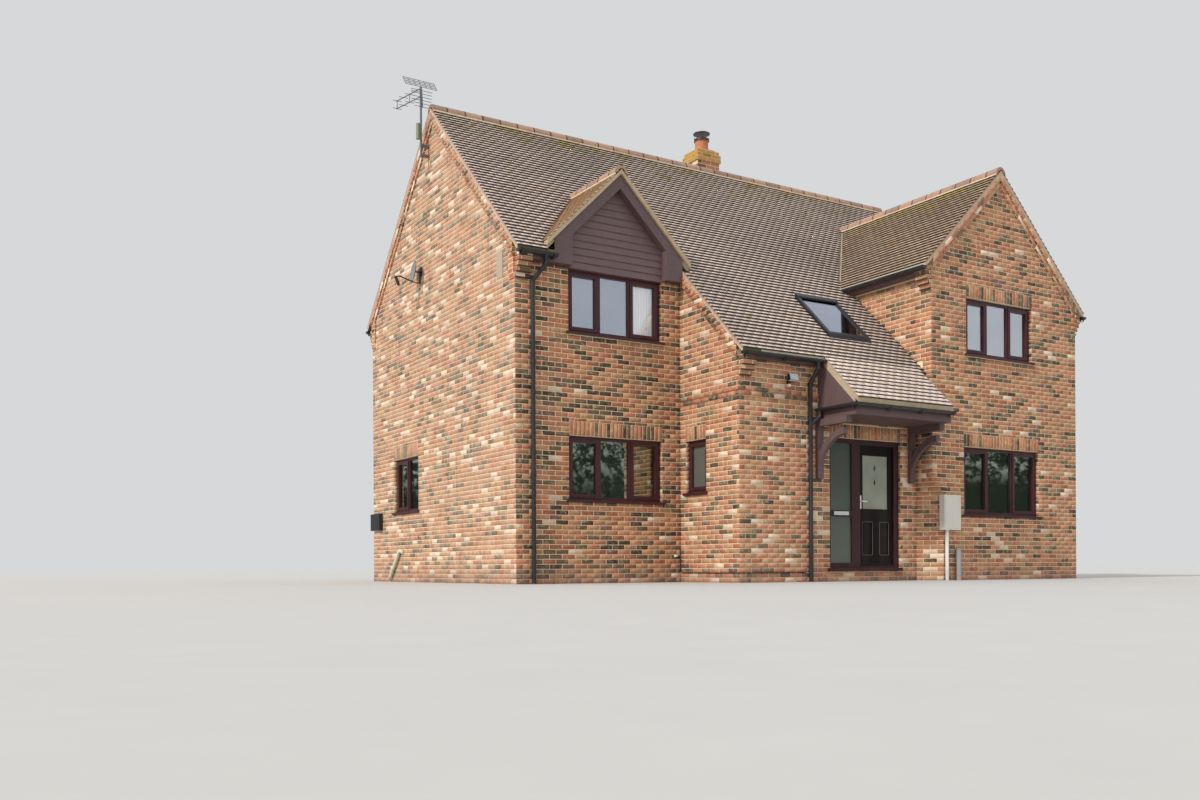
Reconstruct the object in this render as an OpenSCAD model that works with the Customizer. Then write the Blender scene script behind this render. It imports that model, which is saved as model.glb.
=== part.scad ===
/* [House] */
// Length of the main range along its ridge
main_length = 10640; // [10000:10:11500]
// Depth of the main range, front to back
main_depth = 6140; // [5800:10:6600]
// Length of the front wall that stands back, at the left
recess_length = 3010; // [2900:10:3300]
// How far the entrance wall stands forward of it
entry_forward = 1520; // [1300:10:1700]
// Thickness of the outer walls
wall_thickness = 300; // [250:5:350]
// Width of the front wing
wing_width = 3820; // [3700:10:4100]
// How far the wing stands forward of the entrance wall
wing_forward = 350; // [250:10:450]

/* [Floors] */
// Top of the ground floor above the ground
ground_floor_z = 150; // [100:5:170]
// Top of the upper floor
upper_floor_z = 2750; // [2650:10:2850]
// Thickness of the upper floor
upper_floor_thickness = 250; // [200:5:300]

/* [Roof] */
// Pitch of every roof slope in degrees
pitch = 44.5; // [44:0.5:45]
// Height of the tiles above the face of the set back front wall
eaves_z = 5190; // [5180:5:5210]
// Height of the wing's ridge
wing_ridge_z = 7150; // [7120:10:7200]
// Distance of the wing's ridge from its left wall
wing_ridge_in = 1720; // [1680:10:1800]
// Thickness of rafters, battens and tiles together
roof_thickness = 150; // [140:5:170]
// Thickness of the battens and tiles, which pass over the gable walls
tile_layer = 50; // [45:1:60]
// How far the upper fascias stand out from the walls
eaves_overhang = 150; // [140:5:170]
// How far the fascia over the entrance wall stands out
lower_overhang = 120; // [110:5:130]
// How far the tiles reach past the fascias, into the gutters
tile_lip = 40; // [30:1:50]
// Underside of the upper eaves
upper_soffit_z = 4850; // [4845:1:4860]
// Underside of the lower eaves
lower_soffit_z = 3413; // [3405:1:3420]
// How far the tiles reach past the gable walls
verge_overhang = 50; // [40:5:80]
// Radius of the half round ridge tiles
ridge_tile_r = 120; // [100:5:140]
// Length of one ridge tile
ridge_tile_length = 450; // [300:10:500]

/* [Dormer] */
// Middle of the dormer from the left gable
dormer_from_gable = 1780; // [1700:10:1900]
// Half width of the dormer roof
dormer_half = 1320; // [1280:10:1340]
// Ridge height of the dormer
dormer_ridge_z = 6460; // [6440:10:6490]
// Depth of the bargeboards, measured upright
bargeboard_depth = 225; // [210:5:250]
// Half width over the boxed feet of the bargeboards
dormer_foot = 1180; // [1150:5:1184]

/* [Windows] */
// Width of a three light window
window_width = 1730; // [1600:10:1800]
// Bottom of the ground floor windows
ground_sill_z = 1290; // [1200:10:1400]
// Top of the ground floor windows
ground_head_z = 2280; // [2200:10:2340]
// Bottom of the upper windows
upper_sill_z = 3870; // [3800:10:3950]
// Top of the upper windows
upper_head_z = 4840; // [4800:10:4880]
// Face width of the frame members
frame_face = 50; // [45:1:60]
// Depth of the frames
frame_depth = 70; // [60:1:80]
// Face width of an opening light's own frame
sash_face = 46; // [40:1:50]
// How far the frames are set back from the wall face
reveal = 65; // [50:5:90]
// Thickness of a sealed glass unit
glass_thickness = 24; // [20:1:28]
// Height of a brick on end over a window
soldier_height = 225; // [215:5:240]

/* [Door] */
// Left side of the door opening, from the middle of the house
door_set_x = -470; // [-500:5:-440]
// Width of the door opening with its sidelight
door_set_width = 1590; // [1560:5:1620]
// Bottom of the door opening
door_sill_z = 170; // [155:5:180]
// Top of the door opening
door_head_z = 2320; // [2300:5:2360]
// Width of the door leaf
leaf_width = 800; // [780:5:810]
// Thickness of the door leaf
leaf_thickness = 56; // [50:1:60]
// Clear gap round the leaf
leaf_gap = 8; // [7:0.5:10]

/* [Canopy] */
// How far the canopy reaches past the lower eaves
canopy_reach = 730; // [700:10:760]
// Width of the canopy
canopy_width = 2110; // [2050:10:2140]
// Left edge of the canopy from the middle of the house
canopy_x = -720; // [-740:5:-700]
// Bottom of the canopy's beams
canopy_beam_z = 2460; // [2400:10:2480]
// Foot of the curved brackets
bracket_foot_z = 1640; // [1550:10:1750]

/* [Chimney] */
// Width of the stack along the ridge
stack_width = 540; // [500:10:580]
// Depth of the stack across the ridge
stack_depth = 460; // [440:10:500]
// Left face of the stack from the middle of the house
stack_x = 460; // [420:5:500]
// Front face of the stack behind the ridge
stack_y = 140; // [130:5:160]
// Bottom of the band of projecting bricks
stack_band_z = 8475; // [8400:5:8500]
// Radius of the clay pot
pot_r = 133; // [120:1:140]

/* [Rainwater] */
// Radius of the half round gutters
gutter_r = 56; // [50:1:60]
// Radius of the round downpipes
pipe_r = 34; // [30:1:40]

/* [Hidden] */

$fn = 32;
slope = tan(pitch);
half_l = main_length / 2;
half_d = main_depth / 2;
roof_drop = roof_thickness / cos(pitch);
tile_drop = tile_layer / cos(pitch);
ridge_z = eaves_z + half_d * slope;
recess_x = -half_l + recess_length;
entry_y = -half_d - entry_forward;
wing_x = half_l - wing_width;
wing_ridge_x = wing_x + wing_ridge_in;
wing_y = entry_y - wing_forward;
dormer_x = -half_l + dormer_from_gable;
board_t = 20;
soffit_t = 12;
wing_fascia_depth = 120;
upper_fascia_y = -half_d - eaves_overhang;
lower_fascia_y = entry_y - lower_overhang;
upper_edge_y = upper_fascia_y - tile_lip;
lower_edge_y = lower_fascia_y - tile_lip;
dormer_edge_y = upper_edge_y;
dormer_drop = 2 * tile_drop;
canopy_edge_y = lower_edge_y - canopy_reach;
canopy_fascia_y = canopy_edge_y + tile_lip;
canopy_x1 = canopy_x + canopy_width;
canopy_drop = 2 * tile_drop;
wing_back_y = -(ridge_z - wing_ridge_z) / slope;
wing_edge_y = wing_y - verge_overhang;
wing_east_x = half_l + eaves_overhang;
wing_west_x = wing_x - eaves_overhang;
kneeler_length = 225;
course = 75;
sill_t = 35;
sill_horn = 45;
soldier_depth = 103;
far = 9000;

brick = [0.66, 0.38, 0.27];
tile = [0.45, 0.36, 0.33];
upvc = [0.22, 0.12, 0.11];
glass = [0.6, 0.7, 0.75, 0.5];
black = [0.08, 0.08, 0.09];

// Windows: wall, middle along the wall, bottom, width, height, lights
FRONT = 0;
RETURN = 1;
WING = 2;
WEST = 3;
REAR = 4;
EAST = 5;
// Clearance between faces that would otherwise share a slope
fit_gap = 0.1;
wing_window_x = 3270;
wing_window_width = 1980;
wing_window_drop = 170;
wing_upper_window_x = 3220;
small_window_y = -3490;
small_window_width = 540;
small_window_rise = 145;
west_window_y = 1350;
east_window_y = 700;
pair_width = 1200;
rear_x = 3500;
rear_drop = 110;
ground_h = ground_head_z - ground_sill_z;
upper_h = upper_head_z - upper_sill_z;
rear_sill_z = upper_sill_z - rear_drop;
ground_windows = [
    [FRONT, dormer_x, ground_sill_z, window_width, ground_h, 3],
    [RETURN, small_window_y, ground_sill_z + small_window_rise, small_window_width,
        ground_h - small_window_rise, 1],
    [WING, wing_window_x, ground_sill_z - wing_window_drop, wing_window_width,
        ground_h + wing_window_drop, 3],
    [WEST, west_window_y, ground_sill_z, pair_width, ground_h, 2],
    [REAR, -rear_x, ground_sill_z, window_width, ground_h, 3],
    [REAR, 0, ground_sill_z, pair_width, ground_h, 2],
    [REAR, rear_x, ground_sill_z, window_width, ground_h, 3],
    [EAST, east_window_y, ground_sill_z, pair_width, ground_h, 2]
];
upper_windows = [
    [FRONT, dormer_x, upper_sill_z, window_width, upper_h, 3],
    [WING, wing_upper_window_x, upper_sill_z, window_width, upper_h, 3],
    [REAR, -rear_x, rear_sill_z, pair_width, upper_h, 2],
    [REAR, 0, rear_sill_z, pair_width, upper_h, 2],
    [REAR, rear_x, rear_sill_z, pair_width, upper_h, 2]
];
all_windows = concat(ground_windows, upper_windows);

rooflight_x = -190;
rooflight_w = 940;
rooflight_low_y = -4300;
rooflight_run = 830;

// Top of the tiles, underside of the tiles and underside of the rafters
function main_top(y) = ridge_z - abs(y) * slope;
function main_tiles(y) = main_top(y) - tile_drop;
function main_under(y) = main_top(y) - roof_drop;
function wing_top(x) = wing_ridge_z - abs(x - wing_ridge_x) * slope;
function wing_tiles(x) = wing_top(x) - tile_drop;
function wing_under(x) = wing_top(x) - roof_drop;
function dormer_under(x) = dormer_ridge_z - abs(x - dormer_x) * slope - dormer_drop;

// Extrude an outline of Y and Z along X, or of X and Z along Y
module along_x(x0, x1) {
    translate([x0, 0, 0]) rotate([90, 0, 90]) linear_extrude(x1 - x0) children();
}
module along_y(y0, y1) {
    translate([0, y1, 0]) rotate([90, 0, 0]) linear_extrude(y1 - y0) children();
}
module block(x0, x1, y0, y1, z0, z1) {
    translate([x0, y0, z0]) cube([x1 - x0, y1 - y0, z1 - z0]);
}

// Place a piece drawn with its outer face on Y = 0, looking along -Y
module on_wall(wall, along, z) {
    if (wall == FRONT) translate([along, -half_d, z]) children();
    if (wall == RETURN) translate([recess_x, along, z]) rotate([0, 0, -90]) children();
    if (wall == WING) translate([along, wing_y, z]) children();
    if (wall == WEST) translate([-half_l, along, z]) rotate([0, 0, -90]) children();
    if (wall == REAR) translate([along, half_d, z]) rotate([0, 0, 180]) children();
    if (wall == EAST) translate([half_l, along, z]) rotate([0, 0, 90]) children();
}
module on_each(list, wall = -1) {
    for (w = list)
        if (wall < 0 || w[0] == wall)
            on_wall(w[0], w[1], w[2]) {
                $w = w[3];
                $h = w[4];
                $lights = w[5];
                $soldiers = w[2] < upper_floor_z || w[0] == WING;
                children();
            }
}
module window_hole() {
    translate([-$w / 2, -100, -sill_t]) cube([$w, wall_thickness + 200, $h + sill_t]);
    if ($soldiers) translate([-$w / 2, -1, $h]) cube([$w, soldier_depth + 1, soldier_height]);
}

// Everything above a roof, to cut the wall heads: drop is the depth below the tiles' top
module above_main(drop) {
    along_x(-far, far) polygon([
        [-far, main_top(far) - drop - fit_gap], [0, ridge_z - drop - fit_gap],
        [far, main_top(far) - drop - fit_gap],
        [far, 2 * far], [-far, 2 * far]
    ]);
}
module above_wing(drop) {
    low = drop + fit_gap;
    along_y(-far, 0) polygon([
        [wing_ridge_x - far, wing_top(wing_ridge_x - far) - low],
        [wing_ridge_x, wing_ridge_z - low],
        [wing_ridge_x + far, wing_top(wing_ridge_x + far) - low],
        [wing_ridge_x + far, 2 * far], [wing_ridge_x - far, 2 * far]
    ]);
}
// The wing's front left corner is splayed below, and three courses step out to square above
module chamfer_cut() {
    courses = 3;
    cut_top = 1725;
    splay = 270;
    for (i = [0:courses]) {
        share = i == 0 ? 1 : (courses + 1 - i) / (courses + 1);
        z0 = i == 0 ? -10 : cut_top - course * (courses - i + 1);
        translate([0, 0, z0]) linear_extrude(i == 0 ? cut_top - course * courses + 10 : course) polygon([
            [wing_x - 1, wing_y - 1], [wing_x + splay * share, wing_y - 1],
            [wing_x + splay * share, wing_y], [wing_x, wing_y + wing_forward * share],
            [wing_x - 1, wing_y + wing_forward * share]
        ]);
    }
}

module ground_floor_slab() color([0.7, 0.68, 0.64]) {
    linear_extrude(ground_floor_z) polygon([
        [-half_l + wall_thickness, -half_d + wall_thickness],
        [recess_x + wall_thickness, -half_d + wall_thickness],
        [recess_x + wall_thickness, entry_y + wall_thickness],
        [wing_x + wall_thickness, entry_y + wall_thickness],
        [wing_x + wall_thickness, wing_y + wall_thickness],
        [half_l - wall_thickness, wing_y + wall_thickness],
        [half_l - wall_thickness, half_d - wall_thickness],
        [-half_l + wall_thickness, half_d - wall_thickness]
    ]);
}
module upper_floor() color([0.72, 0.62, 0.48]) {
    translate([0, 0, upper_floor_z - upper_floor_thickness])
        linear_extrude(upper_floor_thickness) polygon([
            [-half_l + wall_thickness, -half_d + wall_thickness],
            [recess_x + wall_thickness, -half_d + wall_thickness],
            [recess_x + wall_thickness, entry_y + wall_thickness],
            [wing_x + wall_thickness, entry_y + wall_thickness],
            [wing_x + wall_thickness, wing_y + wall_thickness],
            [half_l - wall_thickness, wing_y + wall_thickness],
            [half_l - wall_thickness, half_d - wall_thickness],
            [-half_l + wall_thickness, half_d - wall_thickness]
        ]);
}

module gable_outline() {
    shoulder_z = main_tiles(half_d) - fit_gap;
    polygon([
        [-half_d, 0], [half_d, 0], [half_d, shoulder_z], [0, main_tiles(0) - fit_gap],
        [-half_d, shoulder_z]
    ]);
}
module west_gable_wall() color(brick) difference() {
    along_x(-half_l, -half_l + wall_thickness) gable_outline();
    on_each(all_windows, WEST) window_hole();
}
module east_gable_wall() color(brick) difference() {
    along_x(half_l - wall_thickness, half_l) gable_outline();
    on_each(all_windows, EAST) window_hole();
}
module front_wall_left() color(brick) difference() {
    block(-half_l + wall_thickness, recess_x + wall_thickness, -half_d, -half_d + wall_thickness, 0,
        eaves_z);
    above_main(roof_drop);
    on_each(all_windows, FRONT) window_hole();
    translate([dormer_x - window_width / 2, -half_d - 1, upper_sill_z])
        cube([window_width, wall_thickness + 2, far]);
}
module return_wall() color(brick) difference() {
    block(recess_x, recess_x + wall_thickness, entry_y, -half_d, 0, eaves_z);
    above_main(tile_drop);
    on_each(all_windows, RETURN) window_hole();
}
module entry_block(x0, x1, z0, z1) {
    difference() {
        block(x0, x1, entry_y, entry_y + wall_thickness, z0, z1);
        above_main(roof_drop);
    }
}
entry_top = main_top(entry_y);
module entrance_wall_left() color(brick) {
    entry_block(recess_x + wall_thickness, door_set_x, 0, entry_top);
}
module entrance_wall_right() color(brick) {
    entry_block(door_set_x + door_set_width, wing_x, 0, entry_top);
}
module entrance_wall_over() color(brick) {
    entry_block(door_set_x, door_set_x + door_set_width, door_head_z, entry_top);
}
module threshold_wall() color(brick) {
    entry_block(door_set_x, door_set_x + door_set_width, 0, door_sill_z);
}
module wing_west_wall() color(brick) difference() {
    union() {
        block(wing_x, wing_x + wall_thickness, wing_y + wall_thickness, entry_y + wall_thickness,
            0, wing_top(wing_x));
        block(wing_x, wing_x + wall_thickness, entry_y + wall_thickness, -half_d,
            upper_floor_z, wing_top(wing_x));
    }
    above_wing(roof_drop);
    chamfer_cut();
}
module wing_front_wall() color(brick) difference() {
    block(wing_x, half_l, wing_y, wing_y + wall_thickness, 0, wing_ridge_z);
    above_wing(tile_drop);
    chamfer_cut();
    on_each(all_windows, WING) window_hole();
}
module wing_east_wall() color(brick) difference() {
    block(half_l - wall_thickness, half_l, wing_y + wall_thickness, -half_d, 0, wing_ridge_z);
    above_wing(roof_drop);
}
module rear_storey(z0, z1) {
    difference() {
        block(-half_l + wall_thickness, half_l - wall_thickness, half_d - wall_thickness, half_d,
            z0, z1);
        above_main(roof_drop);
        on_each(all_windows, REAR) window_hole();
    }
}
module rear_wall_ground() color(brick) rear_storey(0, upper_floor_z);
module rear_wall_upper() color(brick) rear_storey(upper_floor_z, eaves_z);
module soldier_courses() color([0.6, 0.33, 0.25]) on_each(all_windows) {
    if ($soldiers) translate([-$w / 2, 0, $h]) cube([$w, soldier_depth, soldier_height]);
}

// Raked bands of bricks that step out under the verges
band_drop = [215, 110];
band_out = [25, 45];
module chevron(half_a, half_b, apex, drop) {
    polygon([
        [-half_a, apex - half_a * slope], [0, apex], [half_b, apex - half_b * slope],
        [half_b, apex - half_b * slope - drop], [0, apex - drop],
        [-half_a, apex - half_a * slope - drop]
    ]);
}
module verge_bands() color(brick) {
    for (i = [0:1]) {
        for (x = [-half_l - band_out[i], half_l])
            along_x(x, x + band_out[i])
                chevron(half_d, half_d, main_tiles(0) - fit_gap, band_drop[i]);
        along_y(wing_y - band_out[i], wing_y) translate([wing_ridge_x, 0])
            chevron(wing_ridge_in, half_l - wing_ridge_x, wing_tiles(wing_ridge_x) - fit_gap,
                band_drop[i]);
        low_z = main_tiles(entry_y) - fit_gap;
        high_z = main_tiles(upper_edge_y) - fit_gap;
        along_x(recess_x - band_out[i], recess_x) polygon([
            [entry_y, low_z], [upper_edge_y, high_z], [upper_edge_y, high_z - band_drop[i]],
            [entry_y, low_z - band_drop[i]]
        ]);
    }
    // The bands end on stones a brick wide with level undersides
    foot = 175;
    difference() {
        for (x = [-half_l - band_out[0], half_l])
            for (y = [-half_d, half_d - foot])
                block(x, x + band_out[0], y, y + foot, upper_soffit_z - 275, eaves_z);
        above_main(tile_drop);
    }
}

// Corbelled brick kneelers that carry the ends of the eaves
module kneeler(top, courses, reach) {
    for (i = [0:courses - 1]) {
        out = min(40 * (i + 1), reach);
        translate([0, -out, top - course * (courses - i)]) cube([kneeler_length, out, course]);
    }
}
upper_kneeler_z = 4950;
lower_kneeler_z = 3450;
east_kneeler_z = 4875;
west_kneeler_z = 5250;
module kneelers() color(brick) {
    difference() {
        union() {
            translate([-half_l, -half_d, 0]) kneeler(upper_kneeler_z, 5, eaves_overhang);
            translate([recess_x, entry_y, 0]) kneeler(lower_kneeler_z, 4, lower_overhang);
            for (x = [-half_l + kneeler_length, half_l])
                translate([x, half_d, 0]) rotate([0, 0, 180])
                    kneeler(upper_kneeler_z, 5, eaves_overhang);
        }
        above_main(tile_drop);
    }
    difference() {
        union() {
            translate([half_l, wing_y, 0]) rotate([0, 0, 90])
                kneeler(east_kneeler_z, 5, eaves_overhang);
            translate([wing_x, wing_y + kneeler_length, 0]) rotate([0, 0, -90])
                kneeler(west_kneeler_z, 5, eaves_overhang);
        }
        above_wing(tile_drop);
    }
}

// Slabs of the main slope in front of the ridge, from y_low up to y_high
module tile_slab(x0, x1, y_low, y_high) {
    along_x(x0, x1) polygon([
        [y_low, main_top(y_low)], [y_high, main_top(y_high)], [y_high, main_tiles(y_high)],
        [y_low, main_tiles(y_low)]
    ]);
}
weld = 1;
module rafter_slab(x0, x1, y_low, y_high) {
    along_x(x0, x1) polygon([
        [y_low, main_tiles(y_low) + weld], [y_high, main_tiles(y_high) + weld],
        [y_high, main_under(y_high)],
        [y_low, main_under(y_low)]
    ]);
}
// Rafter feet between the wall face and the fascia, cut level over the soffit
module rafter_feet(x0, x1, wall_y, fascia_y, soffit_z) {
    back = fascia_y + board_t;
    along_x(x0, x1) polygon([
        [wall_y, soffit_z + soffit_t], [wall_y, main_tiles(wall_y)], [back, main_tiles(back)],
        [back, soffit_z + soffit_t]
    ]);
}
module upper_feet(x0, x1) {
    rafter_feet(x0, x1, -half_d, upper_fascia_y, upper_soffit_z);
}
// Everything below the tiles of the front slope, from x0 to x1 and back from y0
module below_front_slope(x0, x1, y0) {
    along_x(x0, x1) polygon([
        [y0, -10], [y0, main_top(y0) + fit_gap], [0, ridge_z + fit_gap], [0, -10]
    ]);
}
inner_l = half_l - wall_thickness;
upper_box_x = half_l - kneeler_length;
dormer_side = window_width / 2;
return_band_x = recess_x - band_out[1] - 1;
module front_roof() color(tile) difference() {
    union() {
        tile_slab(-half_l - verge_overhang, recess_x - verge_overhang, upper_edge_y, 0);
        tile_slab(recess_x - verge_overhang, wing_x, lower_edge_y, 0);
        tile_slab(wing_x, half_l + verge_overhang, -half_d, 0);
        rafter_slab(-inner_l, inner_l, -half_d, 0);
        rafter_slab(recess_x + wall_thickness, wing_x, entry_y, -half_d);
        upper_feet(-upper_box_x, dormer_x - dormer_side - board_t);
        upper_feet(dormer_x + dormer_side + board_t, return_band_x);
        rafter_feet(recess_x + kneeler_length, wing_x, entry_y, lower_fascia_y, lower_soffit_z);
    }
    // The room in the wing, the room behind the dormer, the dormer's front and the rooflight
    along_y(-far, 0) polygon([
        [wing_x, 0], [wing_x, wing_under(wing_x)], [wing_ridge_x, wing_under(wing_ridge_x)],
        [half_l + far, wing_under(half_l + far)], [half_l + far, -far], [wing_x, -far]
    ]);
    along_y(-far, 0) polygon([
        [dormer_x - dormer_half, dormer_under(dormer_x - dormer_half)],
        [dormer_x, dormer_ridge_z - dormer_drop],
        [dormer_x + dormer_half, dormer_under(dormer_x + dormer_half)]
    ]);
    block(dormer_x - dormer_side, dormer_x + dormer_side, -far, -half_d + wall_thickness, 0, far);
    block(dormer_x - dormer_side - board_t, dormer_x + dormer_side + board_t, -far, -half_d, 0, far);
    block(dormer_x - dormer_foot, return_band_x, -far, upper_fascia_y + board_t, 0, far);
    block(rooflight_x, rooflight_x + rooflight_w, rooflight_low_y, rooflight_low_y + rooflight_run,
        0, far);
    // Notches in the lip of the tiles for the closed ends of the gutters
    for (x = [canopy_x - gutter_cap, canopy_x1, wing_x - gutter_cap])
        block(x, x + gutter_cap, lower_edge_y - 1, lower_fascia_y - 3, 0, far);
}
module rear_roof() color(tile) difference() {
    mirror([0, 1, 0]) {
        tile_slab(-half_l - verge_overhang, half_l + verge_overhang, upper_edge_y, 0);
        rafter_slab(-inner_l, inner_l, -half_d, 0);
        upper_feet(-upper_box_x, upper_box_x);
    }
    block(stack_x, stack_x + stack_width, stack_y, stack_y + stack_depth, 0, far);
}
east_soffit_z = wing_tiles(wing_east_x) - wing_fascia_depth;
west_soffit_z = wing_tiles(wing_west_x) - wing_fascia_depth;
module wing_feet(x_wall, x_back, soffit_z) {
    along_y(wing_y + kneeler_length, 0) polygon([
        [x_wall, soffit_z + soffit_t], [x_wall, wing_tiles(x_wall)], [x_back, wing_tiles(x_back)],
        [x_back, soffit_z + soffit_t]
    ]);
}
module wing_roof() color(tile) difference() {
    union() {
        along_y(wing_edge_y, 0) translate([wing_ridge_x, 0])
            chevron(wing_ridge_x - wing_west_x + tile_lip, wing_east_x + tile_lip - wing_ridge_x,
                wing_ridge_z, tile_drop);
        along_y(wing_y + wall_thickness, 0) translate([wing_ridge_x, 0])
            chevron(wing_ridge_in, half_l - wing_ridge_x, wing_tiles(wing_ridge_x) + weld,
                roof_drop - tile_drop + weld);
        wing_feet(half_l, wing_east_x - board_t, east_soffit_z);
        wing_feet(wing_x, wing_west_x + board_t, west_soffit_z);
    }
    below_front_slope(-far, wing_x, lower_edge_y);
    below_front_slope(wing_x - 1, far, -half_d);
    block(wing_west_x - tile_lip - 1, wing_west_x - 3, west_gutter_end - gutter_cap, west_gutter_end,
        0, far);
}
module dormer_roof() color(tile) difference() {
    translate([dormer_x, 0, 0]) {
        along_y(dormer_edge_y, 0) chevron(dormer_half, dormer_half, dormer_ridge_z, tile_drop);
        along_y(upper_fascia_y + board_t, 0)
            chevron(dormer_half, dormer_half, dormer_ridge_z - tile_drop, tile_drop);
    }
    below_front_slope(-far, far, -far);
}

// Lapped boards over the dormer window
board_gauge = 112;
board_lap = 16;
module dormer_cladding() color([0.3, 0.2, 0.2]) {
    face_y = -half_d - 22;
    side_z = dormer_under(dormer_x + dormer_side) - fit_gap;
    rows = ceil((dormer_ridge_z - upper_head_z) / board_gauge);
    intersection() {
        along_x(dormer_x - dormer_side, dormer_x + dormer_side) for (i = [0:rows - 1]) {
            z = upper_head_z + i * board_gauge;
            polygon([
                [face_y, z], [face_y + board_lap, z + board_gauge], [-half_d + 100, z + board_gauge],
                [-half_d + 100, z]
            ]);
        }
        along_y(face_y, -half_d + 100) translate([dormer_x, 0]) polygon([
            [-dormer_side, upper_head_z], [dormer_side, upper_head_z], [dormer_side, side_z],
            [0, dormer_ridge_z - dormer_drop - fit_gap], [-dormer_side, side_z]
        ]);
    }
}
// Bargeboards with boxed feet, and the boards that line the dormer's overhang
module bargeboards() color(upvc) {
    apex = dormer_ridge_z - tile_drop - fit_gap;
    back = upper_fascia_y + board_t;
    cladding_y = -half_d - 22;
    lining_z = apex - bargeboard_depth + 30;
    for (side = [0, 1])
        translate([dormer_x, 0, 0]) mirror([side, 0, 0]) {
            along_y(upper_fascia_y, back) polygon([
                [0, apex], [dormer_foot, apex - dormer_foot * slope], [dormer_foot, upper_soffit_z],
                [dormer_side, upper_soffit_z],
                [dormer_side, apex - bargeboard_depth - dormer_side * slope],
                [0, apex - bargeboard_depth]
            ]);
            along_y(back, cladding_y) polygon([
                [0, lining_z], [dormer_side, lining_z - dormer_side * slope],
                [dormer_side, lining_z - dormer_side * slope - 17], [0, lining_z - 17]
            ]);
            block(dormer_side, dormer_side + board_t, back, -half_d, upper_soffit_z,
                lining_z - dormer_side * slope - board_t);
            block(dormer_side + board_t, dormer_foot, back, -half_d, upper_soffit_z,
                upper_soffit_z + soffit_t);
        }
}

// Roof over the door, its boards and the curved brackets under it
module canopy_roof() color(tile) {
    tile_slab(canopy_x, canopy_x1, canopy_edge_y, lower_edge_y);
    translate([0, 0, weld - tile_drop])
        tile_slab(canopy_x, canopy_x1, canopy_fascia_y + board_t, lower_edge_y);
}
canopy_arm = 110;
canopy_low = canopy_beam_z + canopy_arm;
cheek_t = 40;
module canopy_timbers() color(upvc) {
    front = canopy_fascia_y + board_t;
    head_z = lower_soffit_z + soffit_t;
    for (x = [canopy_x, canopy_x1 - cheek_t])
        along_x(x, x + cheek_t) polygon([
            [entry_y, canopy_low], [front, canopy_low], [front, main_top(front) - canopy_drop],
            [lower_edge_y, main_top(lower_edge_y) - canopy_drop], [lower_edge_y, head_z],
            [entry_y, head_z]
        ]);
    block(canopy_x, canopy_x1, canopy_fascia_y, front, canopy_low, main_tiles(canopy_fascia_y) - 3);
    block(canopy_x + cheek_t, canopy_x1 - cheek_t, front, entry_y, canopy_low, canopy_low + soffit_t);
}
module bracket(x) {
    reach = 700;
    post = 75;
    brace_r = 760;
    brace_t = 100;
    trim = 90;
    block(x, x + canopy_arm, entry_y - post, entry_y, bracket_foot_z, canopy_beam_z);
    block(x, x + canopy_arm, entry_y - reach, entry_y, canopy_beam_z, canopy_low);
    along_x(x + 15, x + canopy_arm - 15) intersection() {
        translate([entry_y - reach, bracket_foot_z]) difference() {
            circle(r = brace_r, $fn = 64);
            circle(r = brace_r - brace_t, $fn = 64);
        }
        translate([entry_y - reach + trim, bracket_foot_z + trim])
            square([reach - post - trim + 10, canopy_beam_z - bracket_foot_z - trim]);
    }
}
module canopy_brackets() color(upvc) {
    bracket(canopy_x - 55);
    bracket(canopy_x1 - canopy_arm + 15);
}

// Half round ridge tiles bedded on the slopes
module ridge_run(length, z) {
    count = floor(length / ridge_tile_length);
    pitch_l = length / count;
    joint = 12;
    translate([0, 0, z]) rotate([-90, 0, 0]) cylinder(r = ridge_tile_r - 8, h = length);
    for (i = [0:count - 1])
        translate([0, i * pitch_l + joint / 2, z]) rotate([-90, 0, 0])
            cylinder(r = ridge_tile_r, h = pitch_l - joint);
}
ridge_bed = 65;
module gable_prism(apex) {
    reach = 2000;
    top = apex + fit_gap;
    polygon([[-reach, top - reach * slope], [0, top], [reach, top - reach * slope]]);
}
module ridge_tiles() color([0.62, 0.42, 0.35]) {
    difference() {
        translate([-half_l - verge_overhang, 0, 0]) rotate([0, 0, -90])
            ridge_run(main_length + 2 * verge_overhang, ridge_z - ridge_bed);
        along_x(-far, far) gable_prism(ridge_z);
    }
    difference() {
        translate([wing_ridge_x, wing_edge_y, 0])
            ridge_run(wing_back_y - wing_edge_y - 20, wing_ridge_z - ridge_bed);
        along_y(-far, far) translate([wing_ridge_x, 0]) gable_prism(wing_ridge_z);
        below_front_slope(-far, far, -far);
    }
    difference() {
        translate([dormer_x, dormer_edge_y, 0])
            ridge_run(-dormer_edge_y - (ridge_z - dormer_ridge_z) / slope + 60,
                dormer_ridge_z - ridge_bed);
        along_y(-far, far) translate([dormer_x, 0]) gable_prism(dormer_ridge_z);
        below_front_slope(-far, far, -far);
    }
}

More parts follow.
